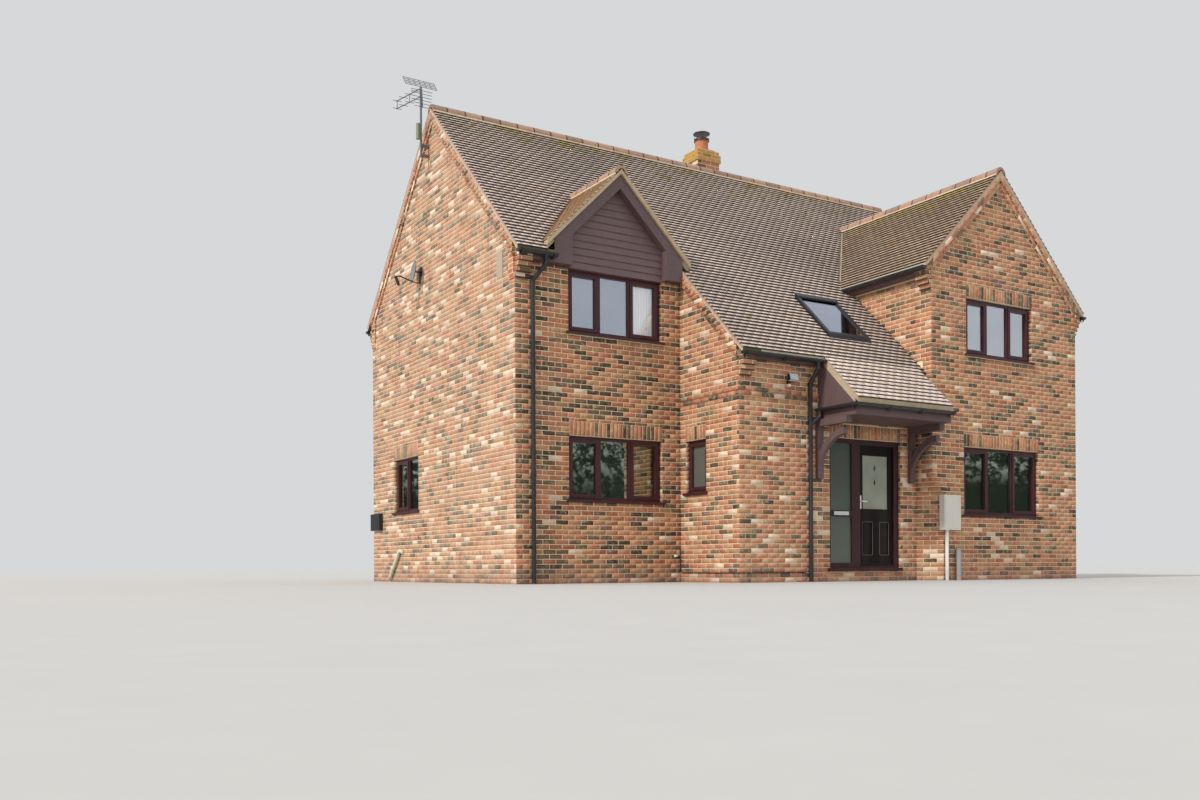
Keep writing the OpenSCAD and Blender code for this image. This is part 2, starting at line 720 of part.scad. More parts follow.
// Fascias with level soffits behind them
module boxed_eaves(x0, x1, wall_y, fascia_y, soffit_z) {
    block(x0, x1, fascia_y, fascia_y + board_t, soffit_z, main_tiles(fascia_y) - 3);
    block(x0, x1, fascia_y + board_t, wall_y, soffit_z, soffit_z + soffit_t);
}
module wing_eaves(x_wall, x_face, soffit_z) {
    inward = x_face > x_wall ? -board_t : board_t;
    top = wing_tiles(x_face) - 3;
    y0 = wing_y + kneeler_length;
    block(min(x_face, x_face + inward), max(x_face, x_face + inward), y0, -half_d, soffit_z, top);
    block(min(x_wall, x_face + inward), max(x_wall, x_face + inward), y0, -half_d, soffit_z,
        soffit_z + soffit_t);
}
module eaves_boards() color(upvc) {
    boxed_eaves(-upper_box_x, dormer_x - dormer_foot, -half_d, upper_fascia_y, upper_soffit_z);
    boxed_eaves(recess_x + kneeler_length, canopy_x, entry_y, lower_fascia_y, lower_soffit_z);
    boxed_eaves(canopy_x1, wing_x, entry_y, lower_fascia_y, lower_soffit_z);
    mirror([0, 1, 0])
        boxed_eaves(-upper_box_x, upper_box_x, -half_d, upper_fascia_y, upper_soffit_z);
    difference() {
        union() {
            wing_eaves(half_l, wing_east_x, east_soffit_z);
            wing_eaves(wing_x, wing_west_x, west_soffit_z);
        }
        below_front_slope(-far, wing_x, lower_edge_y);
    }
}

// A half round trough with closed ends, made by taking a smaller one out of a larger one
gutter_t = 4;
gutter_cap = 6;
module trough(length, r) {
    rotate([90, 0, 90]) linear_extrude(length) difference() {
        circle(r = r);
        translate([-r - 1, 0]) square([2 * r + 2, r + 1]);
    }
}
module gutter_x(x0, x1, y, z) {
    translate([x0, y, z]) difference() {
        trough(x1 - x0, gutter_r);
        translate([gutter_t, 0, 0.1]) trough(x1 - x0 - 2 * gutter_t, gutter_r - gutter_t);
    }
}
module gutter_y(y0, y1, x, z) {
    translate([x, 0, 0]) rotate([0, 0, 90]) gutter_x(y0, y1, 0, z);
}
gutter_out = gutter_r + 4;
gutter_fall = 17;
upper_gutter_z = main_tiles(upper_fascia_y) - gutter_fall;
lower_gutter_z = main_tiles(lower_fascia_y) - gutter_fall;
canopy_gutter_z = main_tiles(canopy_fascia_y) - 56;
east_gutter_z = wing_tiles(wing_east_x) - gutter_fall;
west_gutter_z = wing_tiles(wing_west_x) - gutter_fall;
canopy_return_x = canopy_x - gutter_out;
west_gutter_end = -half_d - 30;
module canopy_trough(r, inset) {
    y = canopy_fascia_y - gutter_out;
    translate([canopy_return_x - r, y, canopy_gutter_z])
        trough(canopy_x1 - inset - canopy_return_x + r, r);
    translate([canopy_return_x, y - r, canopy_gutter_z]) rotate([0, 0, 90])
        trough(entry_y - 60 - inset - y + r, r);
}
upper_gutter_y = upper_fascia_y - gutter_out;
lower_gutter_y = lower_fascia_y - gutter_out;
east_gutter_x = wing_east_x + gutter_out;
left_pipe_x = dormer_x - 1505;
left_outlet_x = left_pipe_x + 145;
entry_pipe_x = -915;
entry_outlet_x = entry_pipe_x + 40;
rear_pipes_x = [-half_l + 700, half_l - 700];
east_pipe_y = -half_d - 500;
canopy_outlet_y = entry_y - 120;
outlets = [
    [left_outlet_x, upper_gutter_y, upper_gutter_z], [entry_outlet_x, lower_gutter_y, lower_gutter_z],
    [rear_pipes_x[0], -upper_gutter_y, upper_gutter_z],
    [rear_pipes_x[1], -upper_gutter_y, upper_gutter_z], [east_gutter_x, east_pipe_y, east_gutter_z],
    [canopy_return_x, canopy_outlet_y, canopy_gutter_z]
];
outlet_drop = 30;
module gutters() color(black) difference() {
    union() {
        verge_end = half_l + verge_overhang + gutter_cap;
        gutter_x(-verge_end, dormer_x - dormer_foot + gutter_cap, upper_gutter_y, upper_gutter_z);
        gutter_x(recess_x - verge_overhang - gutter_cap, canopy_x, lower_gutter_y, lower_gutter_z);
        gutter_x(canopy_x1, wing_x, lower_gutter_y, lower_gutter_z);
        gutter_x(-verge_end, verge_end, -upper_gutter_y, upper_gutter_z);
        gutter_y(wing_edge_y - gutter_cap, -half_d + gutter_cap, east_gutter_x, east_gutter_z);
        gutter_y(wing_edge_y - gutter_cap, west_gutter_end, wing_west_x - gutter_out, west_gutter_z);
        difference() {
            canopy_trough(gutter_r, 0);
            translate([0, 0, 0.1]) canopy_trough(gutter_r - gutter_t, gutter_t);
        }
        for (o = outlets)
            translate([o[0], o[1], o[2] - gutter_r - outlet_drop])
                cylinder(r = pipe_r + 5, h = outlet_drop + 14);
    }
    for (o = outlets)
        translate([o[0], o[1], o[2] - gutter_r - outlet_drop - 1])
            cylinder(r = pipe_r - 4, h = outlet_drop + 30);
}

// A round pipe through a list of points
module pipe(points, r) {
    for (i = [0:len(points) - 2]) {
        a = points[i];
        d = points[i + 1] - a;
        h = norm(d);
        translate(a) rotate([0, acos(d[2] / h), atan2(d[1], d[0])]) cylinder(r = r, h = h);
        if (i > 0) translate(a) sphere(r = r + 5);
    }
}
// Down from a gutter, clear of the soffit, back to the wall and to the ground
module house_pipe(outlet_x, x, wall_y, gutter_y, gutter_z, soffit_z) {
    pipe([
        [outlet_x, gutter_y, gutter_z - gutter_r - outlet_drop], [outlet_x, gutter_y, soffit_z - 60],
        [x, wall_y, soffit_z - 290], [x, wall_y, pipe_foot_z]
    ], pipe_r);
}
pipe_foot_z = 10;
pipe_out = pipe_r + 15;
module downpipes() color(black) {
    house_pipe(left_outlet_x, left_pipe_x, -half_d - pipe_out, upper_gutter_y, upper_gutter_z,
        upper_soffit_z);
    house_pipe(entry_outlet_x, entry_pipe_x, entry_y - pipe_out, lower_gutter_y, lower_gutter_z,
        lower_soffit_z);
    for (x = rear_pipes_x)
        mirror([0, 1, 0])
            house_pipe(x, x, -half_d - pipe_out, upper_gutter_y, upper_gutter_z, upper_soffit_z);
    rotate([0, 0, 90])
        house_pipe(east_pipe_y, east_pipe_y, -half_l - pipe_out, -east_gutter_x, east_gutter_z,
            east_soffit_z);
    // The canopy's gutter empties into the pipe beside the door
    outlet_z = canopy_gutter_z - gutter_r - outlet_drop;
    pipe([
        [canopy_return_x, canopy_outlet_y, outlet_z], [canopy_return_x, canopy_outlet_y, outlet_z - 38],
        [entry_pipe_x, entry_y - pipe_out, outlet_z - 180],
        [entry_pipe_x, entry_y - pipe_out, outlet_z - 260]
    ], pipe_r - 2);
}

// A frame with mullions, and a deeper sash ring round each opening light
module frame_ring(w, h, face, depth) {
    difference() {
        cube([w, depth, h]);
        translate([face, -1, face]) cube([w - 2 * face, depth + 2, h - 2 * face]);
    }
}
function light_w(w, lights) = (w - frame_face) / lights - frame_face;
// The outer two lights of three open, and the only light of one, and the left of two
function opens(i, lights) = lights == 1 || i == 0 || (lights == 3 && i == 2);
module window_frame() {
    pitch_w = ($w - frame_face) / $lights;
    translate([-$w / 2, reveal, 0]) {
        frame_ring($w, $h, frame_face, frame_depth);
        for (i = [1:1:$lights - 1])
            translate([i * pitch_w, 0, frame_face])
                cube([frame_face, frame_depth, $h - 2 * frame_face]);
    }
}
// Opening lights: a ring that fills its light and laps the frame in front
sash_lap = 8;
sash_proud = 14;
sash_depth = frame_depth - 6;
module window_sash() {
    w = light_w($w, $lights);
    h = $h - 2 * frame_face;
    for (i = [0:$lights - 1])
        if (opens(i, $lights))
            translate([-$w / 2 + frame_face + i * (w + frame_face), reveal, frame_face])
                difference() {
                    union() {
                        translate([-sash_lap, -sash_proud, -sash_lap])
                            cube([w + 2 * sash_lap, sash_proud - fit_gap, h + 2 * sash_lap]);
                        translate([fit_gap, -sash_proud, fit_gap])
                            cube([w - 2 * fit_gap, sash_proud + sash_depth, h - 2 * fit_gap]);
                    }
                    translate([sash_face, -100, sash_face])
                        cube([w - 2 * sash_face, 200, h - 2 * sash_face]);
                }
}
module window_glass() {
    w = light_w($w, $lights);
    h = $h - 2 * frame_face;
    for (i = [0:$lights - 1]) {
        inset = opens(i, $lights) ? sash_face : 0;
        translate([-$w / 2 + frame_face + i * (w + frame_face) + inset, reveal + 25, frame_face + inset])
            cube([w - 2 * inset, glass_thickness, h - 2 * inset]);
    }
}
module window_sill() {
    translate([-$w / 2, 0, -sill_t]) cube([$w, reveal + frame_depth, sill_t]);
    translate([-$w / 2 - sill_horn, -40, -sill_t]) cube([$w + 2 * sill_horn, 40, sill_t]);
}
module ground_window_frames() color(upvc) on_each(ground_windows) window_frame();
module upper_window_frames() color(upvc) on_each(upper_windows) window_frame();
module window_sashes() color(upvc)
    for (wall = [FRONT, WING, WEST, REAR, EAST]) on_each(all_windows, wall) window_sash();
module return_window_sash() color(upvc) on_each(all_windows, RETURN) window_sash();
module ground_window_glass() color(glass) {
    on_each(ground_windows) window_glass();
    sidelight_panes();
}
module upper_window_glass() color(glass) {
    on_each(upper_windows) window_glass();
    rooflight_pane();
}
module window_sills() color(upvc) on_each(all_windows) window_sill();

// Door frame with its sidelight; the leaf turns about its right edge
leaf_x1 = 1022;
leaf_x0 = leaf_x1 - leaf_width;
leaf_z0 = 240;
leaf_z1 = door_head_z - 75;
frame_y = entry_y + 40;
leaf_y = frame_y + 32;
mid_rail_z = 1060;
mid_rail_h = 90;
side_x0 = door_set_x + 55;
side_x1 = leaf_x0 - leaf_gap - 165;
module door_frame() color(upvc) difference() {
    union() {
        block(door_set_x, door_set_x + door_set_width, frame_y, frame_y + 90, door_sill_z,
            door_head_z);
        block(door_set_x - 50, door_set_x + door_set_width + 10, entry_y - 45, entry_y,
            door_sill_z, door_sill_z + 50);
        block(door_set_x, door_set_x + door_set_width, entry_y, frame_y, door_sill_z,
            door_sill_z + 50);
    }
    block(leaf_x0 + 14, leaf_x1 - 14, frame_y - 1, frame_y + 200, leaf_z0 + 14, leaf_z1 - 14);
    block(leaf_x0 - leaf_gap, leaf_x1 + leaf_gap, leaf_y - 5, frame_y + 200, leaf_z0 - leaf_gap,
        leaf_z1 + leaf_gap);
    block(side_x0, side_x1, frame_y - 1, frame_y + 200, leaf_z0 + 60, mid_rail_z);
    block(side_x0, side_x1, frame_y - 1, frame_y + 200, mid_rail_z + mid_rail_h, leaf_z1);
}
module sidelight_panes() {
    for (z = [[leaf_z0 + 60, mid_rail_z], [mid_rail_z + mid_rail_h, leaf_z1]])
        block(side_x0, side_x1, frame_y + 30, frame_y + 30 + glass_thickness, z[0], z[1]);
}
module letter_plate() color([0.75, 0.75, 0.76]) {
    block(side_x0 + 70, side_x1 - 70, frame_y - 8, frame_y, mid_rail_z + 15, mid_rail_z + 75);
}

door_pane_x0 = 326;
door_pane_x1 = 900;
door_pane_z0 = 1190;
door_pane_z1 = 2070;
door_panels = [[318, 542], [707, 912]];
door_panel_z = [430, 975];
panel_sunk = 12;
panel_border = 38;
module front_door() color(upvc) {
    difference() {
        block(leaf_x0, leaf_x1, leaf_y, leaf_y + leaf_thickness, leaf_z0, leaf_z1);
        block(door_pane_x0, door_pane_x1, leaf_y - 1, leaf_y + leaf_thickness + 1, door_pane_z0,
            door_pane_z1);
        for (x = door_panels) for (y = [leaf_y - 1, leaf_y + leaf_thickness - panel_sunk])
            block(x[0], x[1], y, y + panel_sunk + 1, door_panel_z[0], door_panel_z[1]);
    }
    for (x = door_panels) for (y = [leaf_y + 4, leaf_y + leaf_thickness - panel_sunk])
        block(x[0] + panel_border, x[1] - panel_border, y, y + panel_sunk - 4,
            door_panel_z[0] + panel_border, door_panel_z[1] - panel_border);
    // Weatherboard at the foot
    along_x(leaf_x0 + 30, leaf_x1 - 30) polygon([
        [leaf_y, leaf_z0 + 18], [leaf_y - 22, leaf_z0 + 18], [leaf_y - 22, leaf_z0 + 28],
        [leaf_y, leaf_z0 + 62]
    ]);
}
hinge_x = leaf_x1 + 4;
hinge_y = leaf_y + leaf_thickness + 11;
hinge_r = 7;
hinge_h = 100;
module door_hinges() color([0.78, 0.78, 0.8]) {
    back = leaf_y + leaf_thickness;
    for (z = [leaf_z0 + 160, (leaf_z0 + leaf_z1) / 2 - hinge_h / 2, leaf_z1 - 160 - hinge_h]) {
        translate([hinge_x, hinge_y, z]) cylinder(r = hinge_r, h = hinge_h);
        block(leaf_x1 - 34, leaf_x1 + 1, back, hinge_y - 3, z, z + hinge_h);
    }
}
module door_glass() color(glass) {
    block(door_pane_x0, door_pane_x1, leaf_y + 16, leaf_y + 40, door_pane_z0, door_pane_z1);
}
module door_handle() color([0.78, 0.78, 0.8]) {
    x = leaf_x0 + 48;
    for (side = [0, 1])
        translate([x, side == 0 ? leaf_y : leaf_y + leaf_thickness, 1190])
            mirror([0, side, 0]) {
                translate([-16, -9, 0]) cube([32, 9, 220]);
                translate([0, 0, 120]) rotate([90, 0, 0]) cylinder(r = 9, h = 50);
                translate([-9, -56, 111]) cube([120, 14, 18]);
            }
}

stack_out = 25;
stack_top_z = stack_band_z + 3 * course;
flaunching_z = stack_top_z + 55;
pot_x = stack_x + stack_width / 2;
pot_y = stack_y + stack_depth / 2;
pot_h = 235;
module chimney_stack() color(brick) {
    x1 = stack_x + stack_width;
    y1 = stack_y + stack_depth;
    shoulder = pot_r + 22;
    difference() {
        block(stack_x, x1, stack_y, y1, main_under(y1), stack_top_z);
        along_x(-far, far) polygon([[0, main_under(0)], [far, main_under(far)], [0, -far]]);
    }
    block(stack_x - stack_out, x1 + stack_out, stack_y - stack_out, y1 + stack_out, stack_band_z,
        stack_band_z + 2 * course);
    // Mortar sloped up to the pot
    intersection() {
        along_x(stack_x, x1) polygon([
            [stack_y, stack_top_z], [y1, stack_top_z], [pot_y + shoulder, flaunching_z],
            [pot_y - shoulder, flaunching_z]
        ]);
        along_y(stack_y, y1) polygon([
            [stack_x, stack_top_z], [x1, stack_top_z], [pot_x + shoulder, flaunching_z],
            [pot_x - shoulder, flaunching_z]
        ]);
    }
}
module chimney_pot() color([0.7, 0.4, 0.28]) translate([pot_x, pot_y, flaunching_z]) {
    rim = pot_r + 12;
    bore = pot_r - 25;
    rotate_extrude() polygon([
        [bore, 0], [rim, 0], [rim, 35], [pot_r, 50], [pot_r, pot_h - 60], [rim, pot_h - 50],
        [rim, pot_h], [bore, pot_h]
    ]);
}
module chimney_cowl() color(black) translate([pot_x, pot_y, flaunching_z + pot_h]) {
    strap_in = pot_r + 13;
    strap_t = 10;
    strap_h = 45;
    leg_r = 3;
    lid_z = 110;
    lid_r = pot_r + 38;
    difference() {
        translate([0, 0, -strap_h]) cylinder(h = strap_h, r = strap_in + strap_t);
        translate([0, 0, -2 * strap_h]) cylinder(h = 3 * strap_h, r = strap_in);
    }
    for (a = [45:90:315])
        rotate([0, 0, a]) translate([strap_in + strap_t / 2, 0, -strap_h / 2])
            cylinder(h = lid_z + strap_h / 2 + leg_r, r = leg_r);
    translate([0, 0, lid_z]) cylinder(h = 8, r = lid_r);
    translate([0, 0, lid_z + 6]) cylinder(h = 14, r1 = lid_r - 12, r2 = lid_r / 4);
}
// A lead collar where the stack comes through the rear slope
module lead_flashings() color([0.4, 0.41, 0.43]) {
    t = 4;
    upstand = 130;
    difference() {
        block(stack_x - t, stack_x + stack_width + t, stack_y - t, stack_y + stack_depth + t,
            main_top(far / 4), ridge_z);
        block(stack_x, stack_x + stack_width, stack_y, stack_y + stack_depth, 0, far);
        along_x(-far, far) polygon([[0, ridge_z], [far, main_top(far)], [0, -far]]);
        above_main(-upstand);
    }
}

rooflight_rise = 90;
module rooflight_frame() color([0.5, 0.5, 0.5]) {
    difference() {
        along_x(rooflight_x, rooflight_x + rooflight_w)
            rooflight_outline(-roof_drop, rooflight_rise, 0);
        along_x(rooflight_x + rooflight_face, rooflight_x + rooflight_w - rooflight_face)
            rooflight_outline(-far, far, rooflight_face * cos(pitch));
    }
    // The hood over the top edge
    hood_y = rooflight_low_y + rooflight_run;
    hood = 70;
    along_x(rooflight_x, rooflight_x + rooflight_w) polygon([
        [hood_y - hood, main_top(hood_y - hood) + rooflight_rise],
        [hood_y, main_top(hood_y) + rooflight_rise], [hood_y, main_top(hood_y) + rooflight_rise + 25],
        [hood_y - hood, main_top(hood_y - hood) + rooflight_rise + 25]
    ]);
}
rooflight_face = 60;
module rooflight_outline(low, high, inset) {
    y0 = rooflight_low_y + inset;
    y1 = rooflight_low_y + rooflight_run - inset;
    polygon([[y0, main_top(y0) + low], [y1, main_top(y1) + low], [y1, main_top(y1) + high],
        [y0, main_top(y0) + high]]);
}
module rooflight_pane() {
    along_x(rooflight_x + rooflight_face, rooflight_x + rooflight_w - rooflight_face)
        rooflight_outline(30, 60, rooflight_face * cos(pitch));
}

// Aerial on its mast: a tilted mesh over a ladder of rods, and a double boom towards the back
mast_x = -half_l - 150;
mast_y = 180;
mast_top = 8600;
module rod_x(y, z, length, r) {
    translate([mast_x - length / 2, y, z]) rotate([0, 90, 0]) cylinder(r = r, h = length, $fn = 8);
}
module tv_aerial() color([0.25, 0.25, 0.27]) {
    mesh_run = 137;
    mesh_rise = 168;
    mesh_w = 580;
    front_y = mast_y - 30;
    boom_len = 1180;
    boom_tilt = 10;
    boom_low = mast_top - 160;
    boom_high = mast_top - 20;
    translate([mast_x, mast_y, 7390]) cylinder(r = 19, h = mast_top - 7390);
    for (z = [7400, 7570]) block(mast_x - 10, -half_l, mast_y - 30, mast_y + 30, z, z + 40);
    for (i = [0:4])
        rod_x(front_y + i / 4 * mesh_run, mast_top + i / 4 * mesh_rise - 5, mesh_w, 5);
    for (i = [-3:3])
        along_x(mast_x + i * mesh_w / 6 - 4, mast_x + i * mesh_w / 6 + 4) polygon([
            [front_y, mast_top - 9], [front_y + mesh_run, mast_top + mesh_rise - 9],
            [front_y + mesh_run, mast_top + mesh_rise - 1], [front_y, mast_top - 1]
        ]);
    for (i = [0:5]) rod_x(front_y - 5 - i * 8, mast_top - 70 - i * 60, 400 - i * 20, 5);
    along_x(mast_x - 8, mast_x + 8) polygon([
        [front_y + 12, mast_top], [front_y - 16, mast_top - 60], [front_y - 56, mast_top - 378],
        [front_y - 40, mast_top - 378], [front_y + 5, mast_top - 60], [front_y + 22, mast_top]
    ]);
    for (z = [boom_low, boom_high])
        translate([mast_x, mast_y, z]) rotate([boom_tilt - 90, 0, 0])
            cylinder(r = 9, h = boom_len, $fn = 12);
    for (reach = [0.45, 0.97] * boom_len)
        translate([mast_x, mast_y + reach * cos(boom_tilt), boom_low + reach * sin(boom_tilt)])
            cylinder(r = 7, h = boom_high - boom_low, $fn = 8);
    for (reach = [0.2, 0.45, 0.7, 0.97] * boom_len) for (z = [boom_low, boom_high])
        rod_x(mast_y + reach * cos(boom_tilt), z + reach * sin(boom_tilt), 170, 5);
    // Amplifier strapped to the mast
    translate([mast_x - 52, mast_y, 7690]) cylinder(r = 36, h = 270);
    block(mast_x - 52, mast_x, mast_y - 12, mast_y + 12, 7800, 7840);
}
dish_y = 580;
dish_z = 5500;
module satellite_dish() color([0.35, 0.36, 0.38]) {
    turn = -9;
    plate_out = 95;
    translate([-half_l, dish_y, dish_z]) {
        translate([-10, -60, -80]) cube([10, 120, 160]);
        translate([-plate_out - 6, 0, 0]) rotate([0, 90, 0]) cylinder(r = 18, h = plate_out);
        translate([-plate_out, 0, 0]) rotate([0, 0, turn]) {
            translate([-14, 0, 0]) rotate([0, -82, 0]) rotate_extrude() polygon([
                [0, 0], [80, 5], [145, 18], [190, 32], [188, 38], [143, 24], [80, 11], [0, 6]
            ]);
            // Arm under the plate that holds the receiver in front of it
            along_y(-9, 9) polygon([
                [80, -30], [80, -205], [-40, -200], [-290, -115], [-360, -130], [-360, -110],
                [-285, -95], [-35, -182], [55, -187], [55, -30]
            ]);
            translate([-305, 0, -270]) rotate([0, -22, 0]) cylinder(r = 25, h = 165);
        }
    }
}
module meter_box() color([0.85, 0.85, 0.82]) {
    block(1670, 2070, wing_y - 110, wing_y, 845, 1435);
}
module service_pipes() color([0.85, 0.85, 0.83]) {
    translate([1800, wing_y - 45, 0]) cylinder(r = 30, h = 845);
    translate([2070, wing_y - 60, 0]) cylinder(r = 42, h = 540);
}
module wall_fittings() color([0.3, 0.3, 0.32]) {
    block(-half_l - 12, -half_l, -2680, -2480, 4670, 5080);
    block(-half_l - 80, -half_l, 2560, 3040, 990, 1310);
    // Outside tap
    translate([-half_l - 60, 650, 790]) rotate([0, 90, 0]) cylinder(r = 12, h = 60);
    translate([-half_l - 50, 650, 750]) cylinder(r = 11, h = 75);
    // Lamp with its sensor under it
    lamp_x0 = -1380;
    lamp_x1 = -1215;
    along_x(lamp_x0, lamp_x1) polygon([
        [entry_y - 30, 3160], [entry_y - 50, 3235], [entry_y - 90, 3245], [entry_y - 120, 3150],
        [entry_y - 60, 3130]
    ]);
    along_x(lamp_x0 + 15, lamp_x0 + 45) polygon([
        [entry_y, 3060], [entry_y, 3120], [entry_y - 50, 3170], [entry_y - 60, 3110],
        [entry_y - 25, 3060]
    ]);
    block(lamp_x0 + 5, lamp_x0 + 55, entry_y - 60, entry_y, 3045, 3085);
}

ground_floor_slab();
upper_floor();
west_gable_wall();
front_wall_left();
return_wall();
entrance_wall_left();
entrance_wall_right();
entrance_wall_over();
threshold_wall();
wing_west_wall();
wing_front_wall();
wing_east_wall();
east_gable_wall();
rear_wall_ground();
rear_wall_upper();
soldier_courses();
verge_bands();
kneelers();
front_roof();
rear_roof();
wing_roof();
dormer_roof();
dormer_cladding();
bargeboards();
canopy_roof();
canopy_timbers();
canopy_brackets();
ridge_tiles();
eaves_boards();
gutters();
downpipes();
ground_window_frames();
upper_window_frames();
window_sashes();
return_window_sash();
ground_window_glass();
upper_window_glass();
window_sills();
door_frame();
front_door();
door_glass();
door_handle();
door_hinges();
letter_plate();
chimney_stack();
chimney_pot();
chimney_cowl();
lead_flashings();
rooflight_frame();
tv_aerial();
satellite_dish();
meter_box();
service_pipes();
wall_fittings();
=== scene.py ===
import math
import random

import bmesh
import bpy
import numpy as np
from mathutils import Matrix, Vector


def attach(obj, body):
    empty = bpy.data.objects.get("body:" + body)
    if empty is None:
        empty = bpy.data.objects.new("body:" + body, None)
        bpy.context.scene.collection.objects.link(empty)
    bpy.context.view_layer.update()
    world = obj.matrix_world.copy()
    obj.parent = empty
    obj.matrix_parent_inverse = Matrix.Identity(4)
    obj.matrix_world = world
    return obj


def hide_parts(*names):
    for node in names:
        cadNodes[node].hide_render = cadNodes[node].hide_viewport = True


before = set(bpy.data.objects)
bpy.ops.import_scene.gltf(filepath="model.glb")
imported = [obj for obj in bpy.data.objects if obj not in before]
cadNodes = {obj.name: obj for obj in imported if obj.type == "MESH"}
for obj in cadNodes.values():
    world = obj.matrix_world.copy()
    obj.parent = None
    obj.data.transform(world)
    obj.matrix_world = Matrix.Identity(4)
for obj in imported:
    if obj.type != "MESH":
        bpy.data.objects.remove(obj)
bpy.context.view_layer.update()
scene = bpy.context.scene
print("frame loaded")

# Places of the CAD, in metres
house = {
    "halfLength": 5.32, "halfDepth": 3.07, "recessX": -2.31, "entryY": -4.59, "wingX": 1.50,
    "wingY": -4.94, "ridgeZ": 8.2069, "wingRidgeX": 3.22, "wingRidgeZ": 7.15, "pitch": 44.5,
    "tileDrop": 0.0701,
}
eastX, rearY = house["halfLength"], house["halfDepth"]
westX, frontY = -eastX, -rearY
recessX, entryY, wingX, wingY = (house[key] for key in ("recessX", "entryY", "wingX", "wingY"))
ridgeZ, wingRidgeX, wingRidgeZ = (house[key] for key in ("ridgeZ", "wingRidgeX", "wingRidgeZ"))
slopeRatio = math.tan(math.radians(house["pitch"]))
slopeCos = math.cos(math.radians(house["pitch"]))
slopeSin = math.sin(math.radians(house["pitch"]))

cameraValues = {
    "place": (-12.728, -17.591, 0.233), "turn": -31.41, "roll": -0.3054, "lens": 32.75,
    "sensor": 36, "shiftY": 0.1403, "far": 500,
}
cameraData = bpy.data.cameras.new("camera")
camera = bpy.data.objects.new("camera", cameraData)
scene.collection.objects.link(camera)
cameraData.lens = cameraValues["lens"]
cameraData.sensor_width = cameraValues["sensor"]
cameraData.shift_y = cameraValues["shiftY"]
cameraData.clip_end = cameraValues["far"]
camera.matrix_world = (
    Matrix.Translation(cameraValues["place"])
    @ Matrix.Rotation(math.radians(cameraValues["turn"]), 4, "Z")
    @ Matrix.Rotation(math.radians(90), 4, "X")
    @ Matrix.Rotation(math.radians(cameraValues["roll"]), 4, "Z")
)
scene.camera = camera
scene.view_settings.view_transform = "Standard"


class Net:
    # Adds and joins the nodes of one tree.

    def __init__(self, tree):
        self.tree = tree

    def add(self, kind, inputs=None, **settings):
        node = self.tree.nodes.new(kind)
        for key, value in settings.items():
            setattr(node, key, value)
        for key, value in (inputs or {}).items():
            self.put(node.inputs[key], value)
        row, column = divmod(len(self.tree.nodes), 12)
        node.location = (220 * column, -220 * row)
        return node

    def put(self, socket, value):
        if isinstance(value, bpy.types.NodeSocket):
            self.tree.links.new(value, socket)
        elif value is not None:
            socket.default_value = value

    def math(self, operation, a, b=0.5):
        return self.add("ShaderNodeMath", {0: a, 1: b}, operation=operation).outputs[0]

    def plus(self, a, b):
        return self.math("ADD", a, b)

    def minus(self, a, b):
        return self.math("SUBTRACT", a, b)

    def times(self, a, b):
        return self.math("MULTIPLY", a, b)

    def above(self, a, b):
        return self.math("GREATER_THAN", a, b)

    def below(self, a, b):
        return self.math("LESS_THAN", a, b)

    def size(self, a):
        return self.math("ABSOLUTE", a)

    def mix(self, factor, a, b, blend="MIX"):
        return self.add("ShaderNodeMix", {0: factor, 6: a, 7: b}, data_type="RGBA",
                        blend_type=blend).outputs[2]

    def blend(self, factor, a, b):
        return self.add("ShaderNodeMix", {0: factor, 2: a, 3: b}, data_type="FLOAT").outputs[0]

    def remap(self, value, low, high, outLow=0.0, outHigh=1.0):
        return self.add("ShaderNodeMapRange",
                        {0: value, 1: low, 2: high, 3: outLow, 4: outHigh}).outputs[0]

    def noise(self, vector, scale, detail=3.0, rough=0.55):
        return self.add("ShaderNodeTexNoise", {"Vector": vector, "Scale": scale, "Detail": detail,
                                               "Roughness": rough}).outputs[0]

    def stretch(self, vector, scale):
        return self.add("ShaderNodeMapping", {"Vector": vector, "Scale": scale}).outputs[0]

    def split(self, vector):
        return self.add("ShaderNodeSeparateXYZ", {0: vector}).outputs

    def facing(self):
        return self.split(self.add("ShaderNodeNewGeometry").outputs["True Normal"])

    def tone(self):
        return self.add("ShaderNodeAttribute", attribute_name="tone").outputs["Fac"]

    def chance(self, value):
        return self.add("ShaderNodeTexWhiteNoise", {1: value}, noise_dimensions="1D").outputs[0]

    def shaded(self, colour, shade):
        grey = self.add("ShaderNodeCombineColor", {0: shade, 1: shade, 2: shade}).outputs[0]
        return self.mix(1.0, colour, grey, "MULTIPLY")

    def mottled(self, colour, height, low, high, amount):
        return self.shaded(colour, self.remap(height, low, high, self.minus(1.0, amount),
                                              self.plus(1.0, amount)))

    def ramp(self, value, stops, interpolation="LINEAR"):
        node = self.add("ShaderNodeValToRGB", {0: value})
        band = node.color_ramp
        band.interpolation = interpolation
        band.elements[0].position, band.elements[0].color = stops[0]
        band.elements[1].position, band.elements[1].color = stops[-1]
        for place, colour in stops[1:-1]:
            band.elements.new(place).color = colour
        return node.outputs[0]


def paint(red, green, blue):
    # An 8-bit screen colour as the linear colour that a shader takes.
    def line(value):
        share = value / 255
        return share / 12.92 if share <= 0.04045 else ((share + 0.055) / 1.055) ** 2.4
    return (line(red), line(green), line(blue), 1.0)


